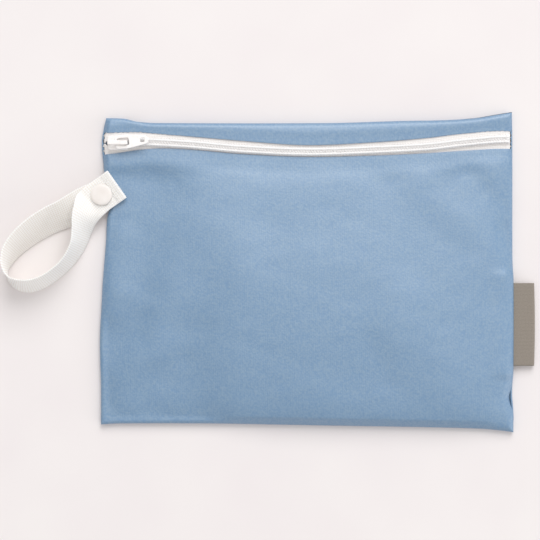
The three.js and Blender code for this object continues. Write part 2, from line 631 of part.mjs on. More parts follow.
function makeSlider() {
  const bottomPlate = tapeLevel - TAPE - GAP - PLATE;
  const block = (length, width, height) => new THREE.BoxGeometry(length, width, height);
  let body = solidOf(raised(sliderOutline(0), topPlateLevel, crownLevel));
  body = body.add(solidOf(raised(sliderOutline(0), bottomPlate, bottomPlate + PLATE)));
  const overlap = PLATE / 4;
  const postHeight = topPlateLevel - bottomPlate - PLATE + 2 * overlap;
  const post = block(POST_LENGTH, POST_WIDTH, postHeight);
  post.translate(POST_INSET + POST_LENGTH / 2, 0, bottomPlate + PLATE - overlap + postHeight / 2);
  body = body.add(solidOf(post));
  const skirt = solidOf(raised(sliderOutline(0), tapeLevel + GAP, topPlateLevel + overlap));
  const channelHeight = topPlateLevel - tapeLevel + overlap;
  const channel = block(2 * SLIDER_LENGTH, COIL_WIDTH + 2 * GAP, channelHeight);
  channel.translate(SLIDER_LENGTH / 2, 0, tapeLevel + channelHeight / 2 - overlap);
  body = body.add(skirt.subtract(solidOf(channel)));
  const crownTop = crownBarLevel + CROWN_BAR;
  const crown = new THREE.Shape();
  crown.moveTo(0, crownLevel - overlap);
  crown.lineTo(SLIDER_LENGTH, crownLevel - overlap);
  crown.lineTo(SLIDER_LENGTH, crownTop - CROWN_BAR);
  crown.quadraticCurveTo(SLIDER_LENGTH, crownTop, SLIDER_LENGTH - CROWN_BAR, crownTop);
  crown.lineTo(CROWN_BAR, crownTop);
  crown.quadraticCurveTo(0, crownTop, 0, crownTop - CROWN_BAR);
  const eye = new THREE.Path();
  eye.moveTo(CROWN_LEG, crownLevel);
  eye.lineTo(CROWN_LEG, crownBarLevel);
  eye.lineTo(SLIDER_LENGTH - CROWN_LEG, crownBarLevel);
  eye.lineTo(SLIDER_LENGTH - CROWN_LEG, crownLevel);
  crown.holes.push(eye);
  const bridge = raised(crown, -CROWN_WIDTH / 2, CROWN_WIDTH / 2).rotateX(Math.PI / 2);
  body = body.add(solidOf(bridge));
  return meshOf("slider_body", geometryFrom(body), paintedZinc);
}

// The pull lies towards the right, a little turned. Its own origin is the middle of the bar in the crown's eye.
function makePull() {
  const back = -PULL_BAR / 2;
  const tip = back + PULL_LENGTH;
  const eyeEnd = PULL_BAR / 2 + PULL_EYE_LENGTH;
  const corner = PULL_BAR;
  const shape = new THREE.Shape();
  shape.moveTo(back, -PULL_WIDTH / 2 + corner);
  shape.quadraticCurveTo(back, -PULL_WIDTH / 2, back + corner, -PULL_WIDTH / 2);
  shape.lineTo(eyeEnd, -PULL_WIDTH / 2);
  shape.lineTo(tip - PULL_TIP_WIDTH / 2, -PULL_TIP_WIDTH / 2);
  shape.absarc(tip - PULL_TIP_WIDTH / 2, 0, PULL_TIP_WIDTH / 2, -Math.PI / 2, Math.PI / 2);
  shape.lineTo(eyeEnd, PULL_WIDTH / 2);
  shape.lineTo(back + corner, PULL_WIDTH / 2);
  shape.quadraticCurveTo(back, PULL_WIDTH / 2, back, PULL_WIDTH / 2 - corner);
  const hole = (from, length, width) => {
    const path = new THREE.Path();
    path.moveTo(from, -width / 2);
    path.lineTo(from, width / 2);
    path.lineTo(from + length, width / 2);
    path.lineTo(from + length, -width / 2);
    return path;
  };
  shape.holes.push(hole(PULL_BAR / 2, PULL_EYE_LENGTH, PULL_EYE_WIDTH));
  const windowFrom = tip - PULL_WINDOW_INSET - PULL_WINDOW_LENGTH;
  shape.holes.push(hole(windowFrom, PULL_WINDOW_LENGTH, PULL_WINDOW_WIDTH));
  const half = PULL_THICKNESS / 2;
  const pull = meshOf("pull_tab", raised(shape, -half, half), paintedZinc);
  pull.position.set(PULL_PLACE, 0, pullLevel + half);
  pull.rotation.z = THREE.MathUtils.degToRad(PULL_TURN_DEG);
  return pull;
}

// The strap's run as a smooth curve: the lower edge, with the lean carried beside it.
const strapTop = strapLevel + snapStack;
const seamTopY = BAG_HEIGHT * (STRAP_SEAM_TO_SHARE - 0.5);
const strapLevels = [STRAP_THICKNESS / 2 + GAP / 6, strapLevel, strapTop];
function edgePoint(row) {
  const step = Math.min(1, Math.floor(row.level));
  const height = mix(strapLevels[step], strapLevels[step + 1], row.level - step);
  return new THREE.Vector3(-BAG_WIDTH / 2 - row.x * LOOP_REACH, seamTopY - row.y * LOOP_DROP, height);
}

function strapSections(places) {
  const edge = new THREE.CatmullRomCurve3(STRAP_RUN.map(edgePoint), false, "centripetal");
  const leans = STRAP_RUN.map((row, i) => ({ at: i / (STRAP_RUN.length - 1), lean: row.lean }));
  const sections = [];
  for (const t of places) {
    const along = edge.getTangent(t).setZ(0).normalize();
    const lean = Math.min(Math.PI, THREE.MathUtils.degToRad(read(leans, t, "lean")));
    const level = new THREE.Vector3(along.y, -along.x, 0);
    const width = level.multiplyScalar(Math.cos(lean)).setZ(Math.sin(lean));
    sections.push({ edge: edge.getPoint(t), width });
  }
  const middle = (s) => s.edge.clone().addScaledVector(s.width, STRAP_WIDTH / 2);
  const last = sections.length - 1;
  sections.forEach((section, i) => {
    const [before, after] = [sections[Math.max(0, i - 1)], sections[Math.min(last, i + 1)]];
    const along = middle(after).sub(middle(before)).normalize();
    section.face = new THREE.Vector3().crossVectors(along, section.width).normalize();
  });
  return sections;
}

const snapCentre = (() => {
  const [before, at, after] = [-1, 0, 1].map((step) => edgePoint(STRAP_RUN[SNAP_AFTER_ROWS + step]));
  const along = after.sub(before).setZ(0).normalize();
  return at.add(new THREE.Vector3(along.y, -along.x, 0).multiplyScalar(STRAP_WIDTH / 2));
})();

// A band along the strap between two levels of its thickness.
function band(places, from, to) {
  const rings = strapSections(places).map(({ edge, width, face }) => {
    const corner = (out, up) => edge.clone().addScaledVector(width, out).addScaledVector(face, up);
    return [corner(0, from), corner(STRAP_WIDTH, from), corner(STRAP_WIDTH, to), corner(0, to)];
  });
  return solidOf(loft(rings));
}

function makeStrap() {
  const half = STRAP_THICKNESS / 2;
  const places = Array.from({ length: STRAP_STEPS + 1 }, (_, i) => i / STRAP_STEPS);
  const [before, end] = STRAP_RUN.slice(-2).map(edgePoint);
  const hemStart = 1 - STRAP_HEM / before.distanceTo(end) / (STRAP_RUN.length - 1);
  const hem = band([hemStart, mix(hemStart, 1, 0.5), 1], -half - STRAP_THICKNESS, -half + GAP);
  let strap = band(places, -half, half).add(hem);
  const bore = SNAP_PIN_DIAMETER / 2 + GAP;
  const depth = snapStack + 4 * STRAP_THICKNESS;
  const hole = turned([[0, 0], [bore, 0], [bore, depth], [0, depth]], SNAP_SIDES / 2);
  hole.translate(snapCentre.x, snapCentre.y, strapLevel - 2 * STRAP_THICKNESS);
  strap = strap.subtract(solidOf(hole));
  return meshOf("wrist_strap", geometryFrom(strap), webbing);
}

// The snap, from the surface up: back cap, stud, socket and cap. The caps' pins go through the webbing.
function makeSnap() {
  const [outer, ring] = [SNAP_DIAMETER / 2, SNAP_RING_DIAMETER / 2];
  const [pin, knob] = [SNAP_PIN_DIAMETER / 2, SNAP_KNOB_DIAMETER / 2];
  const half = STRAP_THICKNESS / 2;
  const strapUnder = strapLevel - half;
  const studLevel = strapLevel + half + GAP;
  const socketLevel = studLevel + SNAP_STUD_HEIGHT + GAP;
  const capLevel = strapTop + half + GAP;
  const backTop = strapUnder - GAP;
  const backBottom = Math.max(0, backTop - SNAP_BACK_HEIGHT);
  const studTop = studLevel + SNAP_STUD_HEIGHT;
  const socketTop = socketLevel + SNAP_SOCKET_HEIGHT;
  const pocket = studTop + SNAP_KNOB_HEIGHT + GAP;
  const pieces = {
    snap_back_cap: [
      [0, backBottom], [outer, backBottom], [outer, backTop],
      [pin, backTop], [pin, studTop - GAP], [0, studTop - GAP],
    ],
    snap_stud: [
      [pin + GAP, studLevel], [ring, studLevel], [ring, studTop], [knob, studTop],
      [knob, studTop + SNAP_KNOB_HEIGHT], [pin + GAP, studTop + SNAP_KNOB_HEIGHT], [pin + GAP, studLevel],
    ],
    snap_socket: [
      [knob + GAP, socketLevel], [ring, socketLevel], [ring, socketTop], [pin + GAP, socketTop],
      [pin + GAP, pocket], [knob + GAP, pocket], [knob + GAP, socketLevel],
    ],
    snap_cap: [
      [0, pocket], [pin, pocket], [pin, capLevel], [outer, capLevel],
      ...SNAP_DOME.map(({ out, up }) => [outer * out, capLevel + mix(SNAP_CAP_RIM, SNAP_CAP_HEIGHT, up)]),
    ],
  };
  return Object.entries(pieces).map(([name, points]) => {
    const piece = meshOf(name, turned(points), acetal);
    piece.position.set(snapCentre.x, snapCentre.y, 0);
    return piece;
  });
}

// The label: one strip folded at its outer edge, with both ends sewn into the right seam.
function makeLabel() {
  const edge = rightX(LABEL_MIDDLE_SHARE);
  const [under, over] = [CLOTH + GAP, CLOTH + GAP + labelThickness];
  const fold = labelThickness / 2;
  const inner = GAP / 2;
  const start = edge - LABEL_SEWN_IN;
  const end = edge + LABEL_REACH - fold;
  const middle = (under + over) / 2;
  const shape = new THREE.Shape();
  shape.moveTo(start, under);
  shape.lineTo(end, under);
  shape.absarc(end, middle, fold, -Math.PI / 2, Math.PI / 2);
  shape.lineTo(start, over);
  shape.lineTo(start, middle + inner);
  shape.lineTo(end, middle + inner);
  shape.absarc(end, middle, inner, Math.PI / 2, -Math.PI / 2, true);
  shape.lineTo(start, middle - inner);
  const strip = raised(shape, -LABEL_LENGTH / 2, LABEL_LENGTH / 2).rotateX(Math.PI / 2);
  const label = meshOf("side_label", strip, wovenLabel);
  label.position.y = BAG_HEIGHT * (LABEL_MIDDLE_SHARE - 0.5);
  return label;
}

const bag = new THREE.Group();
bag.add(makeBackPanel(), makeFrontPanel(), makeTopStrip());
bag.add(makeTape("zip_tape_upper", "upper", 1), makeTape("zip_tape_lower", "lower", -1), makeCoil());
const slider = new THREE.Group();
slider.position.set(sliderNoseX, zipY(shareX(sliderNoseX + SLIDER_LENGTH / 2), "coil"), 0);
slider.add(makeSlider(), makePull());
bag.add(slider, makeStrap(), ...makeSnap(), makeLabel());

export default bag;
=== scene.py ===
import math

import bmesh
import bpy
import numpy as np
from mathutils import Matrix, Vector


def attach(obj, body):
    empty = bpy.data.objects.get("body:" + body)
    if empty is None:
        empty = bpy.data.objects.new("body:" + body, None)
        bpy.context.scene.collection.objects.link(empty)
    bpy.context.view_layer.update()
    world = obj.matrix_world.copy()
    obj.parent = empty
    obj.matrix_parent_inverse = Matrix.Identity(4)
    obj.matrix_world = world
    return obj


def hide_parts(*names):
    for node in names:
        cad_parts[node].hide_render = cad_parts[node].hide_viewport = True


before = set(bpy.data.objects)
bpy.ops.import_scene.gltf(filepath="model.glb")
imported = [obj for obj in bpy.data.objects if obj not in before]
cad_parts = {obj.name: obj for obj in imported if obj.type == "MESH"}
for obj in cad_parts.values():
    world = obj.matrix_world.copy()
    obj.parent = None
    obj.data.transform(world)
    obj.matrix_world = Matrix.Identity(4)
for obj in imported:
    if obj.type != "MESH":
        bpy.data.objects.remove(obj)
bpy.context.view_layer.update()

# A cloth diaper wet bag, lying flat on its back. Lengths are in millimetres, and MM turns them to metres.
# X runs along the zip, Y across the bag towards the zip, Z up from the surface it lies on.
MM = 0.001
# Less than any real length, and the distance within which points are one, in millimetres
TINY, MERGE = 1e-9, 1e-4

# The bag, as its solids have it
BAG_WIDTH, BAG_HEIGHT = 239, 178
CLOTH = 1
SEAM_LEVEL, SEAM_ROLL, SEAM_ROLL_REACH, BACK_ROLL_REACH = 2.3, 1.6, 2.5, 3
PUFF, PUFF_REACH, SINK_SHARE = 5.5, 12, 0.5
GAP = 0.3
# How much closer the points lie at a seam, and how far the cut edges of the cloth are rounded out
SEAM_CROWDING, SEAM_BULGE, UPPER_LIP_BULGE, LOWER_LIP_BULGE = 0.8, 0.12, 0.3, 0.2
# Height, wavelength and seed of the front's soft waves
SOFT_WAVES = [(0.22, 34, 3), (0.08, 13, 5)]
SOFT_SEAM_FADE, SOFT_ZIP_FADE = 8, 10
PUCKER, PUCKER_WAVELENGTH, PUCKER_REACH, PUCKER_SEED = 0.1, 7, 3, 8
BACK_WAVE, BACK_WAVELENGTH, BACK_FLAT_RIM, BACK_WAVE_FADE, BACK_WAVE_SEED = 0.25, 40, 4, 20, 11

# The zip
TAPE, TAPE_HIDDEN, TAPE_END_INSET, TAPE_PARTING = 1, 3, 1.2, 0.5
ZIP_REACH, ZIP_FLAT_ABOVE, ZIP_FLAT_BELOW, ZIP_FADE = 7, 8.5, 11, 8
# The cloth's lips at the zip: the upper one is lifted in the middle, both get thinner towards the zip, and
# the stitches pull the upper one into scallops, made uneven by two slow waves in radians per millimetre
LIP_LIFT, LIP_LIFT_REACH = 0.5, 6
LIP_THINNING, LIP_THINNING_REACH = 0.75, 8
LIP_SCALLOP, SCALLOP_PITCH, SCALLOP_BEATS = 0.3, 2.9, (0.9, 0.37)
# The tapes' frayed ends, uneven by two waves in radians per millimetre, and their rounded sides and ends
FRAY, FRAY_REACH, FRAY_BEATS, TAPE_FRAYED_OUT, TAPE_BULGE = 0.6, 1.5, (2.1, 4.7), 1.5, (0.1, 0.2)
COIL_WIDTH, COIL_THICKNESS, COIL_PITCH, COIL_END_INSET = 5.2, 2, 1.6, 4
# The coil's wire and its turns, each about a place next to the coil's middle line
WIRE, TURN_MIDDLE, TURN_HALF_WIDTH, TURN_HALF_HEIGHT, TURN_POINTS = 0.62, 0.95, 1.35, 0.55, 12
# How far the wire and the sewn cords start after the coil's start, and run on past its end
COIL_LEAD, COIL_RUN_ON, CORD_LEAD, CORD_RUN_ON = 0.4, 0.8, 0.6, 2.2
# The cords sewn with the coil: how far out they lie, level as a share of the coil's thickness, and radius
COIL_CORDS = [
    ("coil_core", (0, 0.9, -0.9), 0.42, 0.8), ("coil_filling", (1.8, -1.8), 0.3, 0.62),
    ("coil_stitching", (1.4, -1.4), 0.7, 0.55),
]

# The slider and its pull
SLIDER_LENGTH, SLIDER_WIDTH, SLIDER_TAIL_WIDTH, SLIDER_INSET, SLIDER_ROOM = 11.6, 8.4, 7.9, 3.7, 1.6
SLIDER_CORNER, SLIDER_ROUNDING, HIDDEN_ROUNDING = 2.2, 0.35, 0.1
PLATE = 1
POST_LENGTH, POST_WIDTH, POST_TAIL_WIDTH, POST_INSET, POST_CORNER = 1.8, 2.4, 1, 0.7, 0.4
FLANGE_FROM, FLANGE_INSIDE_FROM, FLANGE_NOSE_WIDTH, FLANGE_CORNER = 2, 2.6, 8.32, 0.3
CROWN_WIDTH, CROWN_LEG, CROWN_BAR, CROWN_FLARE, CROWN_CORNER = 2.3, 1.5, 1.2, 0.2, 0.9
PULL_LENGTH, PULL_WIDTH, PULL_TIP_WIDTH, PULL_THICKNESS, PULL_BAR = 19.3, 8, 5.1, 1.3, 1.2
PULL_SHOULDER, PULL_TIP_ARC, PULL_ROUNDING = 2.4, 150, 0.4
PULL_EYE_LENGTH, PULL_EYE_WIDTH, PULL_EYE_CORNER = 6.8, 4.4, 1
PULL_WINDOW_LENGTH, PULL_WINDOW_WIDTH, PULL_WINDOW_INSET, PULL_WINDOW_CORNER = 2.4, 2.4, 2.4, 0.35
PULL_PLACE, PULL_SWING_ROOM, PULL_TURN_DEG = 5, 0.4, 5.5

# The wrist strap, its snap and the label
STRAP_WIDTH, STRAP_THICKNESS = 19.2, 1.2
# The weave of ribs across and cords along, its depth, and the ribs' share of it, less at the hem
RIB_PITCH, CORD_PITCH, RIB_DEPTH, RIB_SHARE, HEM_RIB_SHARE = 1.3, 1.3, 0.34, 0.45, 0.12
# The rounded selvedges: where the flat face ends, the turn's width and height, and the weave's depth there
SELVEDGE, SELVEDGE_TURN, SELVEDGE_SHARE, SELVEDGE_SINK = 0.3, 0.06, 0.7, 0.4
STRAP_HEM, HEM_ROOM, HEM_FADE, HEM_GROOVE, HEM_GROOVE_WIDTH = 4.5, 0.1, 0.6, 0.3, 0.45
STITCH_STEP, STITCH_LENGTH, STITCH_WIDTH, STITCH_INSET, STITCH_SINK = 2.1, 1.5, 0.4, 0.8, 0.1
LOOP_REACH, LOOP_DROP = 60, 70
SNAP_DIAMETER, SNAP_PIN_DIAMETER, SNAP_RING_DIAMETER, SNAP_KNOB_DIAMETER = 12.2, 2.6, 11, 5
SNAP_CAP_HEIGHT, SNAP_CAP_RIM, SNAP_SOCKET_HEIGHT = 1.5, 0.6, 1.9
SNAP_STUD_HEIGHT, SNAP_KNOB_HEIGHT, SNAP_BACK_HEIGHT = 0.9, 0.9, 0.9
# The cap's dome is a quarter of an oval with the cosine and the sine raised to these powers
DOME_POWERS = 0.55, 0.9
LABEL_LENGTH, LABEL_REACH, LABEL_LAYER, LABEL_SEWN_IN, LABEL_MIDDLE = 48, 12, 1, 5, 0.326
LABEL_BOW, LABEL_PINCH = 0.45, 0.25

# What the camera sees: the middle and the width of its view at a level over the table, and its lens
VIEW_CENTRE, VIEW_WIDTH, VIEW_LEVEL = (-22.3, 0.58), 313.2, 2.5
LENS, SENSOR = 150, 36

# The bag's outline, from its lower left corner: share of the way along the edge, and how far the edge
# stands out from the plain rectangle there, as a share of the width (sides) or the height (top and bottom).
LEFT_EDGE = [
    (0, 0.0036), (0.12, 0.0036), (0.275, 0.006), (0.41, 0.0012), (0.47, -0.0012), (0.59, -0.0085),
    (0.685, -0.0135), (0.735, -0.0295), (0.775, -0.0295), (0.82, -0.005), (0.85, -0.0024),
    (0.92, 0.0012), (0.966, -0.0036), (1, -0.0095),
]
RIGHT_EDGE = [
    (0, -0.0027), (0.045, -0.0027), (0.1, -0.0056), (0.2, -0.003), (0.46, -0.003), (0.55, -0.0053),
    (0.94, -0.0053), (1, -0.0063),
]
TOP_EDGE = [
    (0, -0.002), (0.046, -0.0046), (0.08, -0.0145), (0.14, -0.0179), (0.55, -0.0179), (0.72, -0.0114),
    (0.84, -0.0081), (0.91, -0.0016), (0.955, 0.0081), (1, 0.0179),
]
BOTTOM_EDGE = [
    (0, 0), (0.04, -0.0033), (0.26, -0.0033), (0.48, 0.0016), (0.62, 0.0049), (0.76, 0.0081),
    (0.87, 0.0114), (0.93, 0.0147), (0.98, 0.0212), (1, 0.0257),
]
# How far the front cloth is drawn in from the outline at the sides, in millimetres, by share of the height
FRONT_LEFT_DRAWN = [
    (0, 0), (0.8, 0), (0.86, 0.3), (0.9, 0.4), (0.95, 0.4), (0.98, 0.2), (1, 0),
]
FRONT_RIGHT_DRAWN = [
    (0, 0), (0.035, 0), (0.06, 1.2), (0.085, 2), (0.11, 1), (0.135, 0), (0.2, 0), (0.86, 0),
    (0.9, 0.4), (0.95, 0.4), (0.98, 0), (1, 0),
]
# The zip's run across the bag: place, upper lip, middle of the coil and lower lip, in shares of the height
ZIP_RUN = [
    (0, 0.95, 0.9155, 0.877), (0.045, 0.951, 0.9165, 0.884), (0.08, 0.9525, 0.9195, 0.8915),
    (0.14, 0.9463, 0.9173, 0.8974), (0.22, 0.938, 0.9107, 0.893), (0.34, 0.9245, 0.8965, 0.879),
    (0.5, 0.9104, 0.8876, 0.87), (0.67, 0.9205, 0.8948, 0.8746), (0.79, 0.9335, 0.904, 0.882),
    (0.87, 0.9465, 0.9166, 0.889), (0.955, 0.956, 0.9277, 0.896), (1, 0.956, 0.929, 0.896),
]
UPPER, COIL, LOWER = 1, 2, 3
# How strongly the stitches pull at the upper lip, by place along the zip
SCALLOPED = [(0, 1), (0.1, 1), (0.17, 0.5), (0.24, 0.15), (0.5, 0.1), (0.9, 0.25), (0.94, 0.8), (1, 0.8)]
# Dents (rise under 0) and folds (rise over 0) of the front, from one end to the other in shares of the
# bag's width and height: from x, from y, to x, to y, width as a share of the height, rise as a share of
# the puff
FOLDS = [
    (0.081, 0.896, 0.141, 0.751, 0.124, -0.594), (0.864, 0.871, 0.927, 0.767, 0.038, -0.192),
    (-0.001, 0.81, 0.134, 0.789, 0.019, -0.148), (-0.016, 0.8, 0.175, 0.787, 0.019, -0.118),
    (0.855, 0.781, 0.944, 0.707, 0.07, -0.267), (0.105, 0.753, 0.075, 0.676, 0.058, -0.334),
    (0.697, 0.771, 0.858, 0.572, 0.069, -0.168), (0.199, 0.641, 0.327, 0.579, 0.118, 0.193),
    (0.974, 0.627, 0.988, 0.577, 0.037, -0.265), (0.531, 0.555, 0.936, 0.48, 0.127, 0.321),
    (0.776, 0.523, 1.049, 0.386, 0.099, -0.247), (0.355, 0.441, 0.695, 0.357, 0.159, 0.421),
    (0.125, 0.544, 0.379, 0.148, 0.124, -0.738), (0.163, 0.454, 0.386, 0.149, 0.11, 0.49),
    (0.027, 0.279, 0.079, 0.303, 0.085, -0.495), (-0.01, 0.094, 0.1, 0.423, 0.083, -0.642),
    (0.647, 0.272, 0.692, 0.145, 0.047, -0.101), (0.151, 0.256, 0.711, 0.109, 0.286, 0.751),
    (0.099, 0.121, 0.185, 0.212, 0.058, -0.208), (0.24, 0.035, 0.207, 0.285, 0.101, -0.591),
    (0.64, 0.143, 0.716, 0.106, 0.123, -0.351), (0.098, -0.033, 0.142, 0.128, 0.099, -0.791),
    (0.068, -0.062, 0.929, -0.14, 0.054, -0.348),
]
# The strap's lower edge from inside the left seam, round the loop and back to its free end: x as a share
# of the loop's reach, y of its drop, level (0 surface, 1 seam, 2 closed snap) and lean, the turn about its
# length in degrees
STRAP_RUN = [
    (-0.295, 0.218, 1, 0), (-0.169, 0.281, 1, 0), (-0.073, 0.33, 1, 0), (0.039, 0.377, 1, 0),
    (0.179, 0.431, 0.3, 17), (0.314, 0.475, 0, 31), (0.455, 0.52, 0, 38), (0.595, 0.582, 0, 44),
    (0.721, 0.653, 0, 52), (0.822, 0.726, 0, 62), (0.888, 0.793, 0, 76), (0.924, 0.853, 0, 91.5),
    (0.908, 0.925, 0, 102), (0.834, 0.987, 0, 108.5), (0.729, 1.012, 0, 111), (0.616, 0.996, 0, 110.5),
    (0.506, 0.949, 0, 108.5), (0.404, 0.885, 0, 107.5), (0.309, 0.81, 0, 107.5), (0.227, 0.723, 0, 110),
    (0.164, 0.632, 0.1, 114), (0.114, 0.533, 1, 123), (0.0615, 0.447, 1.62, 140), (-0.005, 0.386, 2, 177.5),
    (-0.073, 0.334, 2, 180), (-0.145, 0.29, 2, 180), (-0.229, 0.239, 2.1, 180),
]
# The row under the snap, and where the left seam opens for the strap, in shares of the height
SNAP_ROW = 2
STRAP_SEAM_FROM, STRAP_SEAM_TO = 0.695, 0.83
# How a seam opens for what passes through it: its fade, spare length and reach into the cloth
PASS_FADE, PASS_MARGIN, PASS_REACH = 0.03, 4, 14


def ease(value):
    value = np.clip(value, 0, 1)
    return value ** 2 * (3 - 2 * value)


def mix(start, end, share):
    return start + (end - start) * share


def turn(distance, reach):
    """The rounded turn of a seam: 0 at the seam, level again at the end of its reach."""
    return np.sqrt(1 - (1 - np.clip(distance / reach, 0, 1)) ** 2)


def read(rows, place, column=1):
    """A smooth value from a table, by the column it is ordered by."""
    table = np.array(rows, float)
    at, values = table[:, 0], table[:, column]
    i = np.clip(np.searchsorted(at, place), 1, len(at) - 1)
    first, last = np.maximum(0, i - 2), np.minimum(len(at) - 1, i + 1)
    span = at[i] - at[i - 1]
    t = (place - at[i - 1]) / span
    p, q = values[i - 1], values[i]
    m = (values[i] - values[first]) / (at[i] - at[first]) * span
    n = (values[last] - values[i - 1]) / (at[last] - at[i - 1]) * span
    return p + t * (m + t * (3 * (q - p) - 2 * m - n + t * (2 * (p - q) + m + n)))


def left_x(v, front=False):
    drawn = read(FRONT_LEFT_DRAWN, np.clip(v, 0, 1)) if front else 0
    return -BAG_WIDTH * (0.5 + read(LEFT_EDGE, np.clip(v, 0, 1))) + drawn


def right_x(v, front=False):
    drawn = read(FRONT_RIGHT_DRAWN, np.clip(v, 0, 1)) if front else 0
    return BAG_WIDTH * (0.5 + read(RIGHT_EDGE, np.clip(v, 0, 1))) - drawn


def top_y(u):
    return BAG_HEIGHT * (0.5 + read(TOP_EDGE, np.clip(u, 0, 1)))


def bottom_y(u):
    return -BAG_HEIGHT * (0.5 + read(BOTTOM_EDGE, np.clip(u, 0, 1)))


def zip_y(u, line):
    return BAG_HEIGHT * (read(ZIP_RUN, np.clip(u, 0, 1), line) - 0.5)


def share_x(x):
    return x / BAG_WIDTH + 0.5


def share_y(y):
    return y / BAG_HEIGHT + 0.5


LABEL_THICKNESS = 2 * LABEL_LAYER + GAP
STRAP_LEVEL = CLOTH + GAP + STRAP_THICKNESS / 2
SLIDER_SEAT = CLOTH + SLIDER_ROOM + PLATE + GAP + TAPE + GAP + CLOTH
SNAP_STACK = STRAP_THICKNESS + 2 * GAP + SNAP_STUD_HEIGHT + GAP + SNAP_SOCKET_HEIGHT
LABEL_HALF = (LABEL_LENGTH / 2 + PASS_MARGIN) / BAG_HEIGHT
PASSES = [
    (-1, STRAP_SEAM_FROM, STRAP_SEAM_TO, STRAP_THICKNESS),
    (1, LABEL_MIDDLE - LABEL_HALF, LABEL_MIDDLE + LABEL_HALF, LABEL_THICKNESS),
]


def openness(side, start, end, x, y):
    v = share_y(y)
    opened = ease(1 + (v - start) / PASS_FADE) * ease(1 + (end - v) / PASS_FADE)
    return np.where(np.sign(x) == side, opened, 0)


def edge_distances(x, y, front=True):
    u, v = share_x(x), share_y(y)
    return x - left_x(v, front), right_x(v, front) - x, y - bottom_y(u), top_y(u) - y


def front_rim(x, y):
    closed = SEAM_LEVEL + GAP / 2
    left, right, _, _ = edge_distances(x, y)
    near = 1 - ease((np.minimum(left, right) - SEAM_ROLL_REACH) / PASS_REACH)
    lift = 0
    for side, start, end, thickness in PASSES:
        room = max(0, CLOTH + GAP + thickness + GAP - closed)
        lift = np.maximum(lift, room * openness(side, start, end, x, y) * near)
    return closed + lift


def back_rim(x, y):
    closed = SEAM_LEVEL - GAP / 2
    drop = 0
    for side, start, end, _ in PASSES:
        drop = np.maximum(drop, (closed - CLOTH) * openness(side, start, end, x, y))
    return closed - drop


def fold_rise(x, y, folds):
    """The dents and folds that reach a point, added up."""
    total = 0
    for from_x, from_y, to_x, to_y, width, rise in folds:
        start = np.array([(from_x - 0.5) * BAG_WIDTH, (from_y - 0.5) * BAG_HEIGHT])
        run = np.array([(to_x - 0.5) * BAG_WIDTH, (to_y - 0.5) * BAG_HEIGHT]) - start
        dx, dy = x - start[0], y - start[1]
        along = np.clip((dx * run[0] + dy * run[1]) / run.dot(run), 0, 1)
        away = np.hypot(dx - along * run[0], dy - along * run[1]) / (width * BAG_HEIGHT)
        total = total + rise * PUFF * np.exp(-away * away)
    return total


def front_height(x, y):
    """The height of the front's outer face. It is level across the zip, and under the slider along it too.
    Dents run out softly before they reach the level of the rim."""
    left, right, bottom, top = edge_distances(x, y)
    side = np.maximum(0, np.minimum(left, right))
    zip_depth = top_y(share_x(x)) - zip_y(share_x(x), COIL)
    from_zip = top - zip_depth
    flat = np.where(from_zip < 0, ZIP_FLAT_ABOVE, ZIP_FLAT_BELOW)
    beyond = np.maximum(0, np.abs(from_zip) - flat)
    above = ZIP_REACH * turn(top, zip_depth - flat)
    top_reach = np.where(from_zip < 0, above, ZIP_REACH + beyond)
    puff = PUFF
    for distance in (side, top_reach, np.maximum(0, bottom)):
        puff = puff * (1 - np.exp(-distance / PUFF_REACH))
    nearest = np.maximum(0, np.minimum(np.minimum(side, top), bottom))
    rim = front_rim(x, y) + SEAM_ROLL * turn(nearest, SEAM_ROLL_REACH)
    clear_of_rim = ease(nearest / (2 * SEAM_ROLL_REACH))
    clear_of_zip = ease(beyond / ZIP_FADE)
    folded = puff + fold_rise(x, y, FOLDS) * clear_of_rim * clear_of_zip
    plain = rim + (folded + np.hypot(folded, SINK_SHARE * puff)) / 2
    slider_end = SLIDER_INSET + SLIDER_LENGTH
    outer_left = x - left_x(share_y(y))
    seated = ease(outer_left / SLIDER_INSET) * (1 - ease((outer_left - slider_end) / SLIDER_LENGTH))
    return mix(plain, SLIDER_SEAT, seated * (1 - clear_of_zip))


def under_front(x, y, depth):
    """A point at a depth under the front's outer face. At the seams the depth is taken inwards instead."""
    left, right, bottom, top = edge_distances(x, y)

    def inwards(distance):
        return depth * (1 - turn(distance, SEAM_ROLL_REACH))

    nearest = np.minimum(np.minimum(left, right), np.minimum(top, bottom))
    z = front_height(x, y) - depth * turn(nearest, SEAM_ROLL_REACH)
    return np.stack([x + inwards(left) - inwards(right), y + inwards(bottom) - inwards(top), z], -1)


# Blender's side of the work: nodes, meshes and objects


def linear(code):
    """An sRGB hex colour as the linear values that a shader takes."""
    parts = [int(code[i:i + 2], 16) / 255 for i in (1, 3, 5)]
    return [p / 12.92 if p <= 0.04045 else ((p + 0.055) / 1.055) ** 2.4 for p in parts] + [1]


def add(tree, kind, inputs=(), **settings):
    """A new node with its settings. An input takes a value, a socket, or a node that stands for its factor
    or else its first output."""
    node = tree.nodes.new(kind)
    for key, value in settings.items():
        setattr(node, key, value)
    for key, value in dict(inputs).items():
        if isinstance(value, bpy.types.Node):
            value = value.outputs.get("Fac") or value.outputs[0]
        if isinstance(value, bpy.types.NodeSocket):
            tree.links.new(value, node.inputs[key])
        else:
            node.inputs[key].default_value = value
    return node


def shown(name, data):
    piece = bpy.data.objects.new(name, data)
    bpy.context.scene.collection.objects.link(piece)
    return piece


def fit(piece, body, slot, *nodes):
    """The piece rides on its body and stands for its nodes. Its slot is not used."""
    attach(piece, body)
    if nodes:
        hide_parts(*nodes)
    return piece


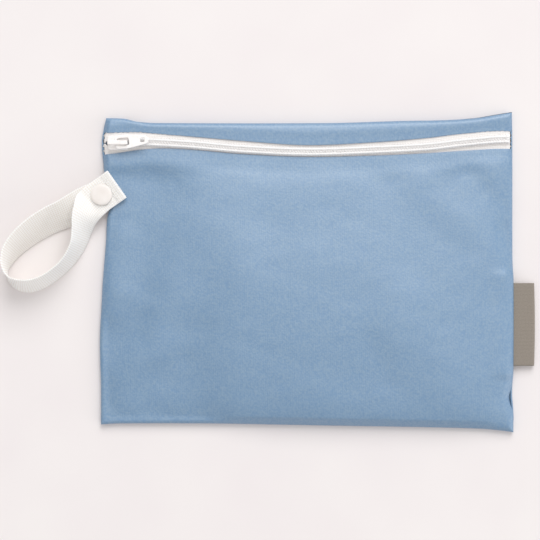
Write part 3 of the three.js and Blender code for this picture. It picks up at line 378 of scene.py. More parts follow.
def map_run(mesh, uv):
    """Each point's run and width, in millimetres, as the mesh's UV map."""
    layer = mesh.uv_layers.new(name="run")
    corners = np.zeros(len(mesh.loops), int)
    mesh.loops.foreach_get("vertex_index", corners)
    layer.data.foreach_set("uv", np.asarray(uv, float)[corners].ravel())


def mesh_from(name, points, faces, material):
    """A smooth mesh from points in millimetres."""
    mesh = bpy.data.meshes.new(name)
    mesh.from_pydata((np.asarray(points, float) * MM).tolist(), [], faces)
    mesh.materials.append(material)
    mesh.shade_smooth()
    mesh.update()
    return mesh


def as_mesh(piece):
    """The piece as it looks with its modifiers, as a plain mesh."""
    graph = bpy.context.evaluated_depsgraph_get()
    return bpy.data.meshes.new_from_object(piece.evaluated_get(graph))


def applied(piece):
    """The piece with its modifiers worked into its mesh."""
    mesh = as_mesh(piece)
    piece.modifiers.clear()
    piece.data = mesh
    return piece


def grid_faces(rows, columns, start=0, around=False):
    faces = []
    for r in range(rows - 1):
        for c in range(columns if around else columns - 1):
            a, b = start + r * columns + c, start + r * columns + (c + 1) % columns
            faces.append((a, b, b + columns, a + columns))
    return faces


def cloth_wall(name, outer, inner, bulge, material, steps=3):
    """A closed cloth wall between two faces over the same grid, with its cut edges rounded out by the bulge
    of each side: start and end of the rows, then of the columns."""
    rows, columns, _ = outer.shape
    low_row, high_row, low_column, high_column = bulge
    border = [(0, c) for c in range(columns - 1)] + [(r, columns - 1) for r in range(rows - 1)]
    border += [(rows - 1, c) for c in range(columns - 1, 0, -1)] + [(r, 0) for r in range(rows - 1, 0, -1)]
    b = np.array(border)
    swell = [low_row] * (columns - 1) + [high_column] * (rows - 1)
    swell += [high_row] * (columns - 1) + [low_column] * (rows - 1)
    inside = np.stack([np.clip(b[:, 0], 1, rows - 2), np.clip(b[:, 1], 1, columns - 2)], -1)
    upper, lower = outer[b[:, 0], b[:, 1]], inner[b[:, 0], b[:, 1]]
    centre, half = (upper + lower) / 2, (upper - lower) / 2
    within = (outer[inside[:, 0], inside[:, 1]] + inner[inside[:, 0], inside[:, 1]]) / 2
    out = centre - within
    out -= half * (np.sum(out * half, 1) / np.maximum(np.sum(half * half, 1), TINY))[:, None]
    out *= (np.array(swell) / np.maximum(np.linalg.norm(out, axis=1), TINY))[:, None]
    points = [outer.reshape(-1, 3), inner.reshape(-1, 3)]
    layer = rows * columns
    rings = [[r * columns + c for r, c in border]]
    for step in range(1, steps + 1):
        angle = math.pi * step / (steps + 1)
        rings.append(list(range(2 * layer + (step - 1) * len(b), 2 * layer + step * len(b))))
        points.append(centre + half * math.cos(angle) + out * math.sin(angle))
    rings.append([layer + i for i in rings[0]])
    faces = grid_faces(rows, columns)
    faces += [face[::-1] for face in grid_faces(rows, columns, layer)]
    for high, low in zip(rings, rings[1:]):
        for i in range(len(b)):
            j = (i + 1) % len(b)
            faces.append((low[i], low[j], high[j], high[i]))
    return mesh_from(name, np.concatenate(points), faces, material)


def shares(count, start_seam=SEAM_CROWDING, end_seam=SEAM_CROWDING):
    """Shares across a panel, packed closer towards a seam by how much of the even step it takes away."""
    t = np.linspace(0, 1, count + 1)
    start = t - start_seam * np.sin(math.pi * t) / math.pi
    end = t + end_seam * np.sin(math.pi * t) / math.pi
    if start_seam and end_seam:
        return mix(start, end, t)
    return start if start_seam else end


def undulation(x, y, seed, wavelength, count=14):
    """A soft unevenness from crossing waves of about one wavelength, mostly between -1 and 1."""
    draw = np.random.default_rng(seed)
    total = 0
    for _ in range(count):
        angle, phase = draw.uniform(0, 2 * math.pi, 2)
        step = 2 * math.pi / (wavelength * draw.uniform(0.7, 1.5))
        total = total + np.cos((x * math.cos(angle) + y * math.sin(angle)) * step + phase)
    return total / count * 2


# Materials

# The wavelength of a wave texture at scale 1
WAVE_SPAN = math.pi / 10


def finish_tree(name, colour, roughness, scatter=0, **constants):
    """A material and its shader. Scatter is how deep light goes into the stuff, in millimetres."""
    material = bpy.data.materials.new(name)
    material.use_nodes = True
    tree = material.node_tree
    shader = tree.nodes["Principled BSDF"]
    shader.inputs["Base Color"].default_value = linear(colour)
    shader.inputs["Roughness"].default_value = roughness
    for key, value in constants.items():
        shader.inputs[key.replace("_", " ")].default_value = value
    if scatter:
        shader.inputs["Subsurface Radius"].default_value = (1, 1, 1)
        shader.inputs["Subsurface Scale"].default_value = scatter * MM
    return material, tree, shader


def in_mm(tree, source="Object"):
    """Coordinates in millimetres, from the object's own or from the run and width of its UV."""
    coordinates = add(tree, "ShaderNodeTexCoord").outputs[source]
    if source == "UV":
        return coordinates
    return add(tree, "ShaderNodeMapping", {"Vector": coordinates, "Scale": (1 / MM,) * 3})


def weave(tree, place, *directions):
    """The threads of the first direction, and where they cross those of the second. A direction is the
    distance between threads in millimetres, the axis across them, how much they wander and how finely."""
    threads = []
    for pitch, axis, wander, fineness in directions:
        inputs = {"Vector": place, "Scale": WAVE_SPAN / pitch}
        inputs |= {"Distortion": wander, "Detail Scale": fineness}
        threads.append(add(tree, "ShaderNodeTexWave", inputs, bands_direction=axis))
    return threads[0], add(tree, "ShaderNodeMath", dict(enumerate(threads)), operation="MULTIPLY")


def summed(tree, *parts):
    """Patterns added up, each by its weight."""
    total = 0
    for pattern, weight in parts:
        total = add(tree, "ShaderNodeMath", {0: pattern, 1: weight, 2: total}, operation="MULTIPLY_ADD")
    return total


def dress(tree, shader, shade, colours, spread=(0.3, 0.7), height=None, depth=0):
    """The base colour runs between two hex colours over a spread of the shade. The height, where there is
    one, gives a relief of a depth in millimetres."""
    ramp = add(tree, "ShaderNodeValToRGB", {"Fac": shade})
    for stop, place, colour in zip(ramp.color_ramp.elements, spread, colours):
        stop.position = place
        stop.color = linear(colour)
    tree.links.new(ramp.outputs["Color"], shader.inputs["Base Color"])
    if height:
        bumpy = add(tree, "ShaderNodeBump", {"Height": height, "Distance": depth * MM, "Strength": 1.0})
        tree.links.new(bumpy.outputs["Normal"], shader.inputs["Normal"])


def laminated_knit():
    # Polyester interlock knit with a thin polyurethane film behind it. Its bright filaments throw a broad
    # pale glare towards the light. The upright wales are fine and uneven, drawn 1.2 mm apart, coarser than
    # the real ones, so that they show.
    material, tree, shader = finish_tree("laminated_knit", "#5585AE", 0.55, IOR=1.88, Specular_IOR_Level=1.0)
    wale_pitch, course_pitch = 1.2, 0.9
    streak_width, streak_stretch, grain_size, mottle_size = 1.3, 0.12, 1.15, 7
    place = in_mm(tree)
    wales, loops = weave(tree, place, (wale_pitch, "X", 1.6, 0.35), (course_pitch, "Y", 1.2, 0.5))
    upright = add(tree, "ShaderNodeMapping", {"Vector": place, "Scale": (1, streak_stretch, 1)})
    streak, grain, mottle = (
        add(tree, "ShaderNodeTexNoise", {"Vector": vector, "Scale": 1 / size, "Detail": 3})
        for vector, size in ((upright, streak_width), (place, grain_size), (place, mottle_size))
    )
    height = summed(tree, (wales, 0.11), (loops, 0.11), (grain, 1.2))
    shade = summed(tree, (streak, 0.12), (grain, 0.76), (mottle, 0.12))
    dress(tree, shader, shade, ("#4B7EA9", "#698FAF"), (0.38, 0.62), height, 0.075)
    return material


def zip_tape():
    # Woven polyester zip tape: matte white, with warp cords along the run crossed by fine weft. They are
    # drawn about 1 mm apart, coarser than the real ones, so that they show.
    material, tree, shader = finish_tree(
        "zip_tape", "#FCF9F8", 0.85, 0.6, Subsurface_Weight=0.2, Sheen_Weight=0.4
    )
    cord_pitch, weft_pitch = 1.15, 0.95
    cords, crossing = weave(tree, in_mm(tree, "UV"), (cord_pitch, "Y", 0, 1), (weft_pitch, "X", 0.5, 0.5))
    woven = summed(tree, (cords, 0.6), (crossing, 1))
    dress(tree, shader, woven, ("#F1ECE9", "#FAF7F5"), (0.1, 0.9), woven, 0.08)
    return material


def nylon_coil():
    # Nylon monofilament wound to a coil: smooth and a little translucent, so its turns look grey-white.
    material, tree, shader = finish_tree("nylon_coil", "#F8F3F1", 0.42, 1.5, IOR=1.53, Subsurface_Weight=0.5)
    cloud_size = 0.5
    cloud = add(tree, "ShaderNodeTexNoise", {"Vector": in_mm(tree), "Scale": 1 / cloud_size, "Detail": 1})
    dress(tree, shader, cloud, ("#F4EEEC", "#FBF6F4"))
    return material


def sewing_thread():
    # Spun polyester thread: matte white, twisted, so each stitch has faint turns across it.
    material, tree, shader = finish_tree("sewing_thread", "#FDFBFA", 0.8, 0.6, Subsurface_Weight=0.6)
    twist_pitch = 0.35
    inputs = {"Vector": in_mm(tree), "Scale": WAVE_SPAN / twist_pitch}
    twist = add(tree, "ShaderNodeTexWave", inputs, bands_direction="DIAGONAL")
    dress(tree, shader, twist, ("#F6F4F3", "#FFFEFD"), (0.1, 0.9), twist, 0.05)
    return material


def painted_zinc():
    # Die-cast zinc alloy with baked white enamel: a smooth coat with slight orange peel.
    material, tree, shader = finish_tree(
        "painted_zinc", "#F6F4F3", 0.3, Coat_Weight=0.35, Coat_Roughness=0.15
    )
    peel_size, grime_size = 0.6, 2.2
    place = in_mm(tree)
    peel = add(tree, "ShaderNodeTexNoise", {"Vector": place, "Scale": 1 / peel_size, "Detail": 1})
    grime = add(tree, "ShaderNodeTexNoise", {"Vector": place, "Scale": 1 / grime_size, "Detail": 3})
    dress(tree, shader, grime, ("#F6F1EE", "#FDFAF8"), (0.3, 0.55), peel, 0.02)
    return material


def webbing():
    # Woven polyester webbing, off-white: thick ribs across it and warp cords along it, matte with soft lint.
    # Ribs and cords are drawn 1.3 mm apart, coarser than the real ones, so that they show.
    material, tree, shader = finish_tree(
        "webbing", "#FBF7F2", 0.8, 1.3, Subsurface_Weight=0.9, Sheen_Weight=0.8
    )
    lint_size = 0.5
    _, crossing = weave(tree, in_mm(tree, "UV"), (RIB_PITCH, "X", 0, 1), (CORD_PITCH, "Y", 0, 1))
    lint = add(tree, "ShaderNodeTexNoise", {"Vector": in_mm(tree), "Scale": 1 / lint_size, "Detail": 3})
    woven = summed(tree, (crossing, 1), (lint, 0.4))
    dress(tree, shader, woven, ("#EAE1D6", "#FFFEFB"), (0.05, 0.5), woven, 0.14)
    return material


def acetal():
    # Moulded acetal resin, off-white: smooth, waxy, a little translucent at its rim.
    material, tree, shader = finish_tree("acetal", "#EFEAE6", 0.5, 1.5, IOR=1.48, Subsurface_Weight=0.15)
    skin_size, cloud_size = 0.7, 5
    place = in_mm(tree)
    skin, cloud = (
        add(tree, "ShaderNodeTexNoise", {"Vector": place, "Scale": 1 / size, "Detail": 2})
        for size in (skin_size, cloud_size)
    )
    dress(tree, shader, cloud, ("#EBE5E0", "#F1ECE8"), height=skin, depth=0.012)
    return material


def woven_label():
    # Woven polyester satin, warm grey: close weft threads along its length with a dull lustre. They are
    # drawn 0.55 mm apart, coarser than the real ones, so that they show.
    material, tree, shader = finish_tree("woven_label", "#877E74", 0.6, Sheen_Weight=0.2)
    weft_pitch, warp_pitch, fuzz_size = 0.55, 0.8, 0.7
    place = in_mm(tree)
    _, crossing = weave(tree, place, (weft_pitch, "X", 0.3, 0.5), (warp_pitch, "Y", 0.3, 0.5))
    fuzz = add(tree, "ShaderNodeTexNoise", {"Vector": place, "Scale": 1 / fuzz_size, "Detail": 2})
    thread = summed(tree, (crossing, 1), (fuzz, 1))
    dress(tree, shader, thread, ("#7E756B", "#958C81"), (0.3, 1), thread, 0.06)
    return material


def table_top():
    # A smooth painted table top, a pale warm white.
    material, tree, shader = finish_tree("table_top", "#EFEAEA", 0.6)
    cloud_size = 60
    cloud = add(tree, "ShaderNodeTexNoise", {"Vector": in_mm(tree), "Scale": 1 / cloud_size, "Detail": 2})
    dress(tree, shader, cloud, ("#ECE6E6", "#EFEAE9"))
    return material


FINISHES = {
    make.__name__: make()
    for make in (
        laminated_knit, zip_tape, nylon_coil, sewing_thread, painted_zinc, webbing, acetal, woven_label,
        table_top,
    )
}

# Cloth


def across(u, y, front=True):
    v = share_y(y)
    return mix(left_x(v, front), right_x(v, front), u), y


def scallops(u):
    """The small pulls that the stitches leave along the zip's upper lip."""
    run = u * BAG_WIDTH
    quick, slow = SCALLOP_BEATS
    uneven = 1 + 0.5 * np.sin(run * quick + 1) * np.sin(run * slow)
    return LIP_SCALLOP * read(SCALLOPED, u) * np.abs(np.sin(math.pi * run / SCALLOP_PITCH)) * uneven


def relief(x, y):
    """Fine unevenness of the front cloth: soft undulation and small puckers along the seams."""
    left, right, bottom, top = edge_distances(x, y)
    nearest = np.minimum(np.minimum(left, right), np.minimum(top, bottom))
    zip_clear = ease((zip_y(share_x(x), LOWER) - y) / SOFT_ZIP_FADE)
    soft = sum(height * undulation(x, y, seed, wavelength) for height, wavelength, seed in SOFT_WAVES)
    along_seam = np.exp(-((nearest - PUCKER_REACH) / PUCKER_REACH) ** 2)
    pucker = PUCKER * along_seam * undulation(x, y, PUCKER_SEED, PUCKER_WAVELENGTH)
    return soft * ease(nearest / SOFT_SEAM_FADE) * zip_clear + pucker * ease(nearest / PUCKER_REACH)


def front_sheet(name, node, x, y, from_lip, rise, bulge):
    """A closed sheet of the front cloth, thinned towards its lip at the zip."""
    thinned = LIP_THINNING * (1 - ease(from_lip / LIP_THINNING_REACH))
    outer = np.stack([x, y, front_height(x, y) + rise - thinned], -1)
    inner = under_front(x, y, CLOTH)
    inner[..., 2] += rise
    mesh = cloth_wall(name, outer, inner, bulge, FINISHES["laminated_knit"])
    fit(shown(name, mesh), "bag", "laminated_knit", node)


def front_cloth():
    u, v = np.meshgrid(shares(290), shares(130, end_seam=0))
    x, y = across(u, mix(bottom_y(u), zip_y(u, LOWER), v))
    bulge = (SEAM_BULGE, LOWER_LIP_BULGE, SEAM_BULGE, SEAM_BULGE)
    front_sheet("front_cloth", "front_panel", x, y, zip_y(u, LOWER) - y, relief(x, y), bulge)


def top_cloth():
    u, v = np.meshgrid(shares(420), shares(22, start_seam=0))
    lip = zip_y(u, UPPER) + scallops(u)
    x, y = across(u, mix(lip, top_y(u), v))
    from_lip = (top_y(u) - lip) * v
    rise = LIP_LIFT * np.sin(math.pi * u) ** 2 * (1 - ease(from_lip / LIP_LIFT_REACH))
    bulge = (UPPER_LIP_BULGE, SEAM_BULGE, SEAM_BULGE, SEAM_BULGE)
    front_sheet("top_cloth", "top_strip", x, y, from_lip, rise, bulge)


def back_cloth():
    u, v = np.meshgrid(shares(150), shares(100))
    x, y = across(u, mix(bottom_y(u), top_y(u), v), False)
    left, right, bottom, top = edge_distances(x, y, False)
    nearest = np.maximum(0, np.minimum(np.minimum(left, right), np.minimum(top, bottom)))
    upturn = 1 - turn(nearest, BACK_ROLL_REACH)
    wavy = ease((nearest - BACK_FLAT_RIM) / BACK_WAVE_FADE)
    wave_rise = BACK_WAVE * (1 + undulation(x, y, BACK_WAVE_SEED, BACK_WAVELENGTH)) * wavy
    outer = np.stack([x, y, back_rim(x, y) * upturn + wave_rise], -1)

    def inwards(distance):
        return CLOTH * (1 - turn(distance, BACK_ROLL_REACH))

    inner_x = x + inwards(left) - inwards(right)
    inner_y = y + inwards(bottom) - inwards(top)
    inner = np.stack([inner_x, inner_y, mix(CLOTH, back_rim(x, y), upturn) + wave_rise], -1)
    mesh = cloth_wall("back_cloth", inner, outer, (SEAM_BULGE,) * 4, FINISHES["laminated_knit"])
    fit(shown("back_cloth", mesh), "bag", "laminated_knit", "back_panel")


# The zip

TAPE_TOP = CLOTH + GAP
SLIDER_NOSE = float(left_x(share_y(zip_y(0, COIL)))) + SLIDER_INSET
SLIDER_Y = float(zip_y(share_x(SLIDER_NOSE + SLIDER_LENGTH / 2), COIL))
POST_X = SLIDER_NOSE + POST_INSET + POST_LENGTH / 2
COIL_START = POST_X + POST_LENGTH / 2 + GAP
COIL_END = float(right_x(share_y(zip_y(1, COIL)))) - COIL_END_INSET


def tape_parting(x):
    """Half the space between the two tapes: closed under the coil, open round the slider's post."""
    opened = POST_WIDTH / 2 + GAP
    return mix(TAPE_PARTING / 2, opened, 1 - ease(np.abs(x - POST_X) / POST_LENGTH - 1))


def tape(name, node, lip, direction):
    start = (TAPE_END_INSET - TAPE_FRAYED_OUT) / BAG_WIDTH
    u, v = np.meshgrid(np.linspace(start, 1 - start, 401), np.linspace(0, 1, 15))
    middle_x, middle_y = across(u, zip_y(u, COIL), False)
    middle = middle_y + direction * tape_parting(middle_x)
    hidden = zip_y(u, lip) + direction * TAPE_HIDDEN
    share = v if direction > 0 else 1 - v
    x, y = across(u, mix(middle, hidden, share), False)
    from_start, from_end = (u - start) * BAG_WIDTH, (1 - start - u) * BAG_WIDTH
    frayed = np.exp(-(from_start / FRAY_REACH) ** 2) - np.exp(-(from_end / FRAY_REACH) ** 2)
    slow, quick = FRAY_BEATS
    x = x - frayed * FRAY * (np.sin(y * slow) + 0.5 * np.sin(y * quick + 1))
    upper, lower = under_front(x, y, TAPE_TOP), under_front(x, y, TAPE_TOP + TAPE)
    side_bulge, end_bulge = TAPE_BULGE
    bulge = (side_bulge, side_bulge, end_bulge, end_bulge)
    mesh = cloth_wall(name, upper, lower, bulge, FINISHES["zip_tape"], 1)
    flat = np.stack([x, y - zip_y(share_x(x), COIL)], -1).reshape(-1, 2)
    map_run(mesh, np.resize(flat, (len(mesh.vertices), 2)))
    fit(shown(name, mesh), "bag", "zip_tape", node)


def node_tree(name, sizes):
    """An empty Geometry Nodes tree with a line, named sizes and a finish as its inputs."""
    tree = bpy.data.node_groups.new(name, "GeometryNodeTree")
    tree.interface.new_socket("Line", in_out="INPUT", socket_type="NodeSocketGeometry")
    keys = {}
    for label in sizes:
        size = tree.interface.new_socket(label, in_out="INPUT", socket_type="NodeSocketFloat")
        keys[label] = size.identifier
    finish = tree.interface.new_socket("Finish", in_out="INPUT", socket_type="NodeSocketMaterial")
    keys["Finish"] = finish.identifier
    tree.interface.new_socket("Pieces", in_out="OUTPUT", socket_type="NodeSocketGeometry")
    return tree, keys, add(tree, "NodeGroupInput").outputs


def end_tree(tree, geometry, finish):
    real = add(tree, "GeometryNodeRealizeInstances", {0: geometry})
    smooth = add(tree, "GeometryNodeSetShadeSmooth", {0: real})
    done = add(tree, "GeometryNodeSetMaterial", {0: smooth, "Material": finish})
    add(tree, "NodeGroupOutput", {0: done})


def cord_tree():
    """A round cord along a line."""
    tree, keys, given = node_tree("cord_on_line", ["Radius"])
    line = add(tree, "GeometryNodeMeshToCurve", {0: given["Line"]})
    ring = add(tree, "GeometryNodeCurvePrimitiveCircle", {"Resolution": 7, "Radius": given["Radius"]})
    cord = add(tree, "GeometryNodeCurveToMesh", {"Curve": line, "Profile Curve": ring, "Fill Caps": True})
    end_tree(tree, cord, given["Finish"])
    return tree, keys


def stitch_tree():
    """Stitches of one length along a line, one at each step."""
    tree, keys, given = node_tree("stitches_on_line", ["Step", "Length", "Width", "Height"])
    line = add(tree, "GeometryNodeMeshToCurve", {0: given["Line"]})
    upright = add(tree, "GeometryNodeSetCurveNormal", {0: line}, mode="Z_UP")
    places = add(tree, "GeometryNodeCurveToPoints", {0: upright, "Length": given["Step"]}, mode="LENGTH")
    bead = add(tree, "GeometryNodeMeshUVSphere", {"Segments": 8, "Rings": 6, "Radius": 0.5})
    size = add(tree, "ShaderNodeCombineXYZ", {0: given["Width"], 1: given["Height"], 2: given["Length"]})
    inputs = {"Points": places.outputs["Points"], "Instance": bead, "Scale": size}
    inputs["Rotation"] = places.outputs["Rotation"]
    end_tree(tree, add(tree, "GeometryNodeInstanceOnPoints", inputs), given["Finish"])
    return tree, keys


CORD, STITCH = cord_tree(), stitch_tree()


def along_line(name, lines, kind, finish, **sizes):
    """A mesh made by a node tree along lines of points in millimetres."""
    points, edges = [], []
    for line in lines:
        edges += [(len(points) + i, len(points) + i + 1) for i in range(len(line) - 1)]
        points += [tuple(p) for p in line]
    mesh = bpy.data.meshes.new(name)
    mesh.from_pydata(points, edges, [])
    piece = shown(name, mesh)
    tree, keys = kind
    modifier = piece.modifiers.new(name, "NODES")
    modifier.node_group = tree
    modifier[keys["Finish"]] = FINISHES[finish]
    for label, value in sizes.items():
        modifier[keys[label]] = float(value)
    applied(piece)
    piece.data.transform(Matrix.Scale(MM, 4))
    return piece


def coil_points(x, out, up):
    """Points at a distance out from the coil's middle line and up from its base."""
    y = zip_y(share_x(x), COIL)
    slope = (zip_y(share_x(x + 1), COIL) - zip_y(share_x(x - 1), COIL)) / 2
    length = np.hypot(1, slope)
    base = front_height(x, y) - TAPE_TOP + GAP
    return np.stack([x - slope / length * out, y + 1 / length * out, base + up], -1)


def zip_coil():
    turns = int((COIL_END - COIL_START) / COIL_PITCH)
    angle = np.linspace(0, 2 * math.pi * turns, turns * TURN_POINTS + 1)
    run = COIL_END - COIL_START + COIL_RUN_ON
    lines = []
    for side in (1, -1):
        lead = COIL_PITCH * (0.25 - 0.25 * side)
        x = COIL_START + COIL_LEAD + lead + (angle / (2 * math.pi)) * run / turns
        reach = TURN_MIDDLE - TURN_HALF_WIDTH * np.cos(angle)
        lines.append(coil_points(x, side * reach, COIL_THICKNESS / 2 + TURN_HALF_HEIGHT * np.sin(angle)))
    piece = along_line("coil_wire", lines, CORD, "nylon_coil", Radius=WIRE / 2)
    fit(piece, "bag", "nylon_coil", "zip_coil")
    x = np.linspace(COIL_START + CORD_LEAD, COIL_END + CORD_RUN_ON, 480)
    for name, outs, level, radius in COIL_CORDS:
        lines = [coil_points(x, out, np.full_like(x, COIL_THICKNESS * level)) for out in outs]
        fit(along_line(name, lines, CORD, "sewing_thread", Radius=radius), "bag", "zip_tape")


# The slider and its pull

TAPE_LEVEL = SLIDER_SEAT - TAPE_TOP
TOP_PLATE_LEVEL = TAPE_LEVEL + GAP + COIL_THICKNESS + GAP
CROWN_LEVEL = TOP_PLATE_LEVEL + PLATE
PULL_LEVEL = CROWN_LEVEL + PULL_SWING_ROOM
CROWN_BAR_LEVEL = PULL_LEVEL + PULL_THICKNESS + PULL_SWING_ROOM


def arc(centre, radius, start, end, steps):
    angles = np.radians(np.linspace(start, end, steps + 1))
    return [(centre[0] + radius * math.cos(a), centre[1] + radius * math.sin(a)) for a in angles]


def tapered(start, start_width, end, end_width):
    """The four corners of a form that is even about its middle line."""
    near, far = start_width / 2, end_width / 2
    return [(start, -near), (end, -far), (end, far), (start, near)]


def rounded_corner(before, here, after, radius, steps):
    """Points round a corner, which takes up less than half of either side."""
    before, here, after = (Vector((*point, 0)) for point in (before, here, after))
    longest = 0.45
    reach = min(radius, (before - here).length * longest, (after - here).length * longest)
    start = here + (before - here).normalized() * reach
    end = here + (after - here).normalized() * reach
    points = []
    for step in range(steps + 1):
        t = step / steps
        p = start.lerp(here, t).lerp(here.lerp(end, t), t)
        points.append((p.x, p.y))
    return points


def rounded(points, radius, steps=4):
    """An outline with each corner rounded."""
    result = []
    count = len(points)
    for i in range(count):
        before, here, after = (points[j % count] for j in (i - 1, i, i + 1))
        result += rounded_corner(before, here, after, radius, steps)
    return result


def softened(points, radius=0.15, steps=3):
    """A profile with its corners rounded, its two ends kept."""
    result = [points[0]]
    for before, here, after in zip(points, points[1:], points[2:]):
        result += rounded_corner(before, here, after, radius, steps)
    return result + [points[-1]]


def plate(outline, low, high, rounding, holes=()):
    """A plate from an outline seen from above, between two levels, with rounded edges."""
    curve = bpy.data.curves.new("outline", "CURVE")
    curve.dimensions, curve.fill_mode = "2D", "BOTH"
    curve.extrude = (high - low) / 2 - rounding
    curve.bevel_depth, curve.offset, curve.bevel_resolution = rounding, -rounding, 2
    for points in [outline, *holes]:
        spline = curve.splines.new("POLY")
        spline.points.add(len(points) - 1)
        spline.points.foreach_set("co", np.array([(x, y, 0, 1) for x, y in points], float).ravel())
        spline.use_cyclic_u = True
    piece = shown("outline", curve)
    mesh = as_mesh(piece)
    bpy.data.objects.remove(piece)
    mesh.transform(Matrix.Translation((0, 0, (high + low) / 2)))
    return mesh


def fused(name, shells, voxel, material):
    """One cast piece from overlapping closed shells, fused at a fine voxel and softened."""
    joined = bmesh.new()
    for shell in shells:
        joined.from_mesh(shell)
    bmesh.ops.remove_doubles(joined, verts=joined.verts, dist=MERGE)
    bmesh.ops.recalc_face_normals(joined, faces=joined.faces)
    mesh = bpy.data.meshes.new(name)
    joined.to_mesh(mesh)
    joined.free()
    piece = shown(name, mesh)
    fuse = piece.modifiers.new("fuse", "REMESH")
    fuse.mode, fuse.voxel_size = "VOXEL", voxel
    soften = piece.modifiers.new("soften", "SMOOTH")
    soften.factor, soften.iterations = 0.5, 3
    applied(piece)
    piece.data.materials.clear()
    piece.data.materials.append(material)
    piece.data.shade_smooth()
    return piece


def slider():
    bottom = TAPE_LEVEL - TAPE - GAP - PLATE
    lap = PLATE / 4
    outline = rounded(tapered(0, SLIDER_WIDTH, SLIDER_LENGTH, SLIDER_TAIL_WIDTH), SLIDER_CORNER, 6)
    post = rounded(tapered(POST_INSET, POST_WIDTH, POST_INSET + POST_LENGTH, POST_TAIL_WIDTH), POST_CORNER)
    shells = [
        plate(outline, TOP_PLATE_LEVEL, CROWN_LEVEL, SLIDER_ROUNDING),
        plate(outline, bottom, bottom + PLATE, SLIDER_ROUNDING),
        plate(post, bottom + PLATE - lap, TOP_PLATE_LEVEL + lap, HIDDEN_ROUNDING),
    ]
    channel = COIL_WIDTH / 2 + GAP
    for side in (-1, 1):
        edge = [(FLANGE_INSIDE_FROM, side * channel), (SLIDER_LENGTH, side * channel)]
        edge += [(SLIDER_LENGTH, side * SLIDER_TAIL_WIDTH / 2), (FLANGE_FROM, side * FLANGE_NOSE_WIDTH / 2)]
        flange = rounded(edge, FLANGE_CORNER)
        shells.append(plate(flange, TAPE_LEVEL + GAP, TOP_PLATE_LEVEL + lap, HIDDEN_ROUNDING))
    crown_foot, crown_top = CROWN_LEVEL - lap, CROWN_BAR_LEVEL + CROWN_BAR
    tail_leg = SLIDER_LENGTH - CROWN_LEG
    arch = [
        (-CROWN_FLARE, crown_foot), (0, crown_top), (SLIDER_LENGTH, crown_top), (SLIDER_LENGTH, crown_foot),
        (tail_leg, crown_foot), (tail_leg, CROWN_BAR_LEVEL), (CROWN_LEG, CROWN_BAR_LEVEL),
        (CROWN_LEG, crown_foot),
    ]
    bridge = plate(rounded(arch, CROWN_CORNER), -CROWN_WIDTH / 2, CROWN_WIDTH / 2, SLIDER_ROUNDING)
    bridge.transform(Matrix.Rotation(math.pi / 2, 4, "X"))
    shells.append(bridge)
    piece = fused("slider_casting", shells, 0.13, FINISHES["painted_zinc"])
    piece.data.transform(Matrix.Scale(MM, 4) @ Matrix.Translation((SLIDER_NOSE, SLIDER_Y, 0)))
    fit(piece, "bag", "painted_zinc", "slider_body")


def pull():
    """The pull, from its bar under the crown to its round tip, with the eye and a small window."""
    back = -PULL_BAR / 2
    tip = back + PULL_LENGTH
    eye_start, eye_end = PULL_BAR / 2, PULL_BAR / 2 + PULL_EYE_LENGTH
    shoulders = rounded(tapered(back, PULL_WIDTH, eye_end, PULL_WIDTH), PULL_SHOULDER, 6)
    body = [p for p in shoulders if p[0] < eye_end / 2]
    body += [(eye_end, -PULL_WIDTH / 2), (eye_end, PULL_WIDTH / 2)]
    body += arc((tip - PULL_TIP_WIDTH / 2, 0), PULL_TIP_WIDTH / 2, -PULL_TIP_ARC / 2, PULL_TIP_ARC / 2, 10)
    body.sort(key=lambda p: math.atan2(p[1], p[0] - PULL_LENGTH / 2))
    eye = rounded(tapered(eye_start, PULL_EYE_WIDTH, eye_end, PULL_EYE_WIDTH), PULL_EYE_CORNER)
    window_to = tip - PULL_WINDOW_INSET
    window = tapered(window_to - PULL_WINDOW_LENGTH, PULL_WINDOW_WIDTH, window_to, PULL_WINDOW_WIDTH)
    half = PULL_THICKNESS / 2
    shell = plate(body, -half, half, PULL_ROUNDING, [eye, rounded(window, PULL_WINDOW_CORNER)])
    piece = fused("pull", [shell], 0.12, FINISHES["painted_zinc"])
    place = Matrix.Translation((SLIDER_NOSE + PULL_PLACE, SLIDER_Y, PULL_LEVEL + half))
    turned_in_plane = Matrix.Rotation(math.radians(PULL_TURN_DEG), 4, "Z")
    piece.data.transform(Matrix.Scale(MM, 4) @ place @ turned_in_plane)
    fit(piece, "pull", "painted_zinc", "pull_tab")


# The wrist strap

SEAM_TOP_Y = BAG_HEIGHT * (STRAP_SEAM_TO - 0.5)
STRAP_TOP = STRAP_LEVEL + SNAP_STACK
STRAP_LEVELS = [STRAP_THICKNESS / 2 + GAP / 6, STRAP_LEVEL, STRAP_TOP]


def edge_point(row):
    x, y, level, _ = row
    step = min(1, int(level))
    height = mix(STRAP_LEVELS[step], STRAP_LEVELS[step + 1], level - step)
    return np.array([-BAG_WIDTH / 2 - x * LOOP_REACH, SEAM_TOP_Y - y * LOOP_DROP, height])


